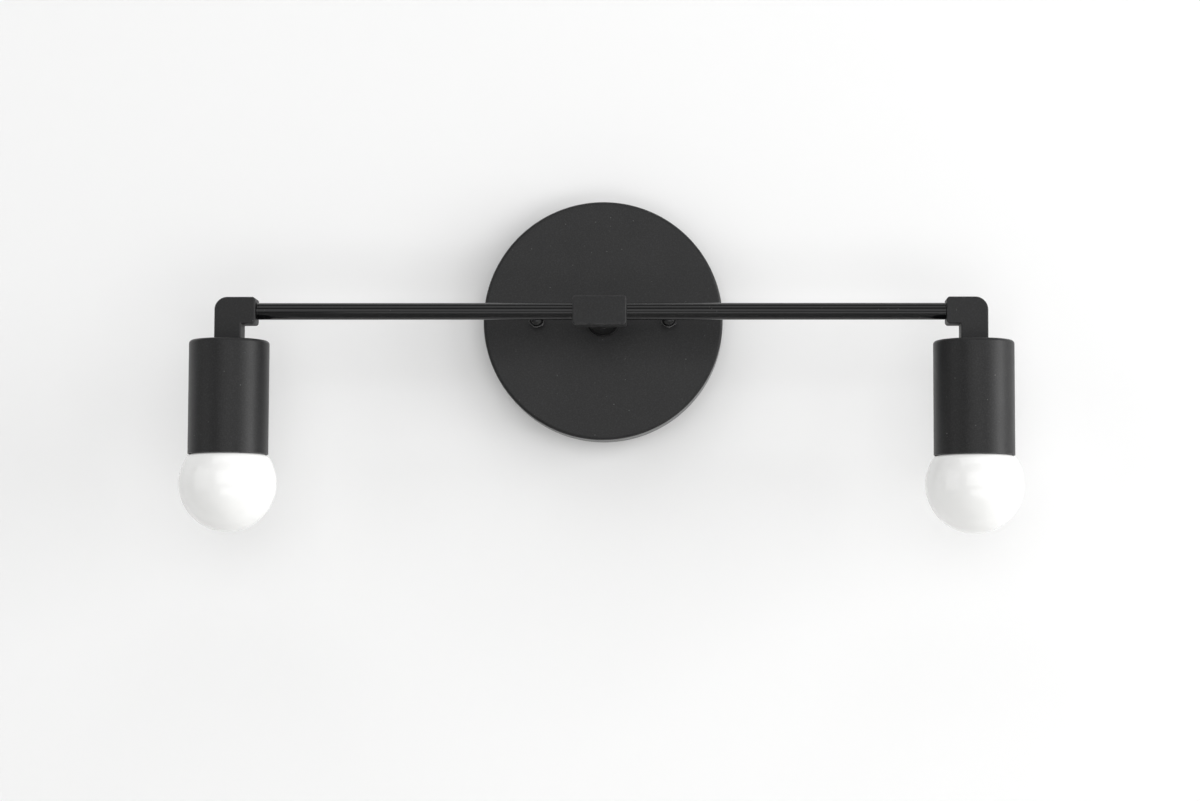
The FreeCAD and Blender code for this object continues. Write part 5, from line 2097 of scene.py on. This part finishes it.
@dataclass
class Studio:
    """Camera at the photograph's place, lamps and world."""

    camera_place: Place = (0.0507, -1.4793, -0.1522)
    yaw: float = 0.0357
    pitch: float = 0.0750
    roll: float = -0.0035
    focal_length: float = 82.99
    sensor_width: float = 36.0
    clip: tuple[float, float] = (0.01, 50.0)
    world_strength: float = 0.31
    lamps: tuple[SoftLamp, ...] = (
        SoftLamp("right_window", (2.4, -1.6, 0.3), (0.0, -0.2, 0.0), 1.8, 2.2, 24.0),
        SoftLamp("far_right_window", (2.6, -0.7, 0.2), (0.0, -0.1, 0.0), 1.0, 2.2, 31.0),
        SoftLamp("ceiling_bounce", (0.0, -1.4, 2.3), (0.0, 0.0, 0.0), 3.0, 1.2, 16.0),
        SoftLamp("left_bounce", (-2.4, -1.6, 0.3), (0.0, -0.2, 0.0), 1.8, 2.2, 11.0),
        SoftLamp("front_softbox", (0.2, -3.4, 0.6), (0.0, 0.0, 0.0), 3.0, 2.0, 29.0),
        SoftLamp("low_softbox", (0.5, -2.2, -1.0), (0.0, 0.0, 0.0), 2.0, 0.7, 8.0),
    )

    def camera(self) -> None:
        """Set the camera where the photograph was taken."""
        data = bpy.data.cameras.new("photo_camera")
        data.sensor_width = self.sensor_width
        data.lens = self.focal_length
        data.clip_start, data.clip_end = self.clip
        camera = bpy.data.objects.new("photo_camera", data)
        turn = Matrix.Rotation(self.yaw, 4, "Z") @ Matrix.Rotation(self.pitch, 4, "X")
        turn = turn @ Matrix.Rotation(self.roll, 4, "Y") @ Matrix.Rotation(QUARTER_TURN, 4, "X")
        camera.matrix_world = Matrix.Translation(self.camera_place) @ turn
        bpy.context.scene.collection.objects.link(camera)
        bpy.context.scene.camera = camera

    def world(self) -> None:
        """Even pale light from all round."""
        world = bpy.data.worlds.new("studio_world")
        world.use_nodes = True
        background = world.node_tree.nodes["Background"]
        background.inputs["Color"].default_value = (1.0, 1.0, 1.0, 1.0)
        background.inputs["Strength"].default_value = self.world_strength
        bpy.context.scene.world = world

    def build(self) -> None:
        """Set up camera, world, lamps and the plain view."""
        self.camera()
        self.world()
        for lamp in self.lamps:
            lamp.build()
        bpy.context.scene.view_settings.view_transform = "Standard"


class Assembly(Protocol):
    """Sub-assembly that can make its own pieces."""

    def build(self) -> None:
        """Make every piece."""


def assemblies() -> Iterator[Assembly]:
    """Every sub-assembly in the order in which it is built.

    Returns:
        The sub-assemblies, one by one.
    """
    yield Canopy()
    yield WallFixing()
    yield Stem()
    yield CenterBlock()
    for side in Side:
        yield Arm(side)
        yield SocketCup(side)
        yield Lampholder(side)
        yield Bulb(side)
    yield Wiring()


def main() -> None:
    """Build the studio, the backdrop and the light."""
    logging.basicConfig(level=logging.INFO, format="%(name)s: %(message)s")
    Studio().build()
    Backdrop().build()
    for assembly in assemblies():
        log.info("building %s", type(assembly).__name__)
        assembly.build()


if __name__ == "__main__":
    main()
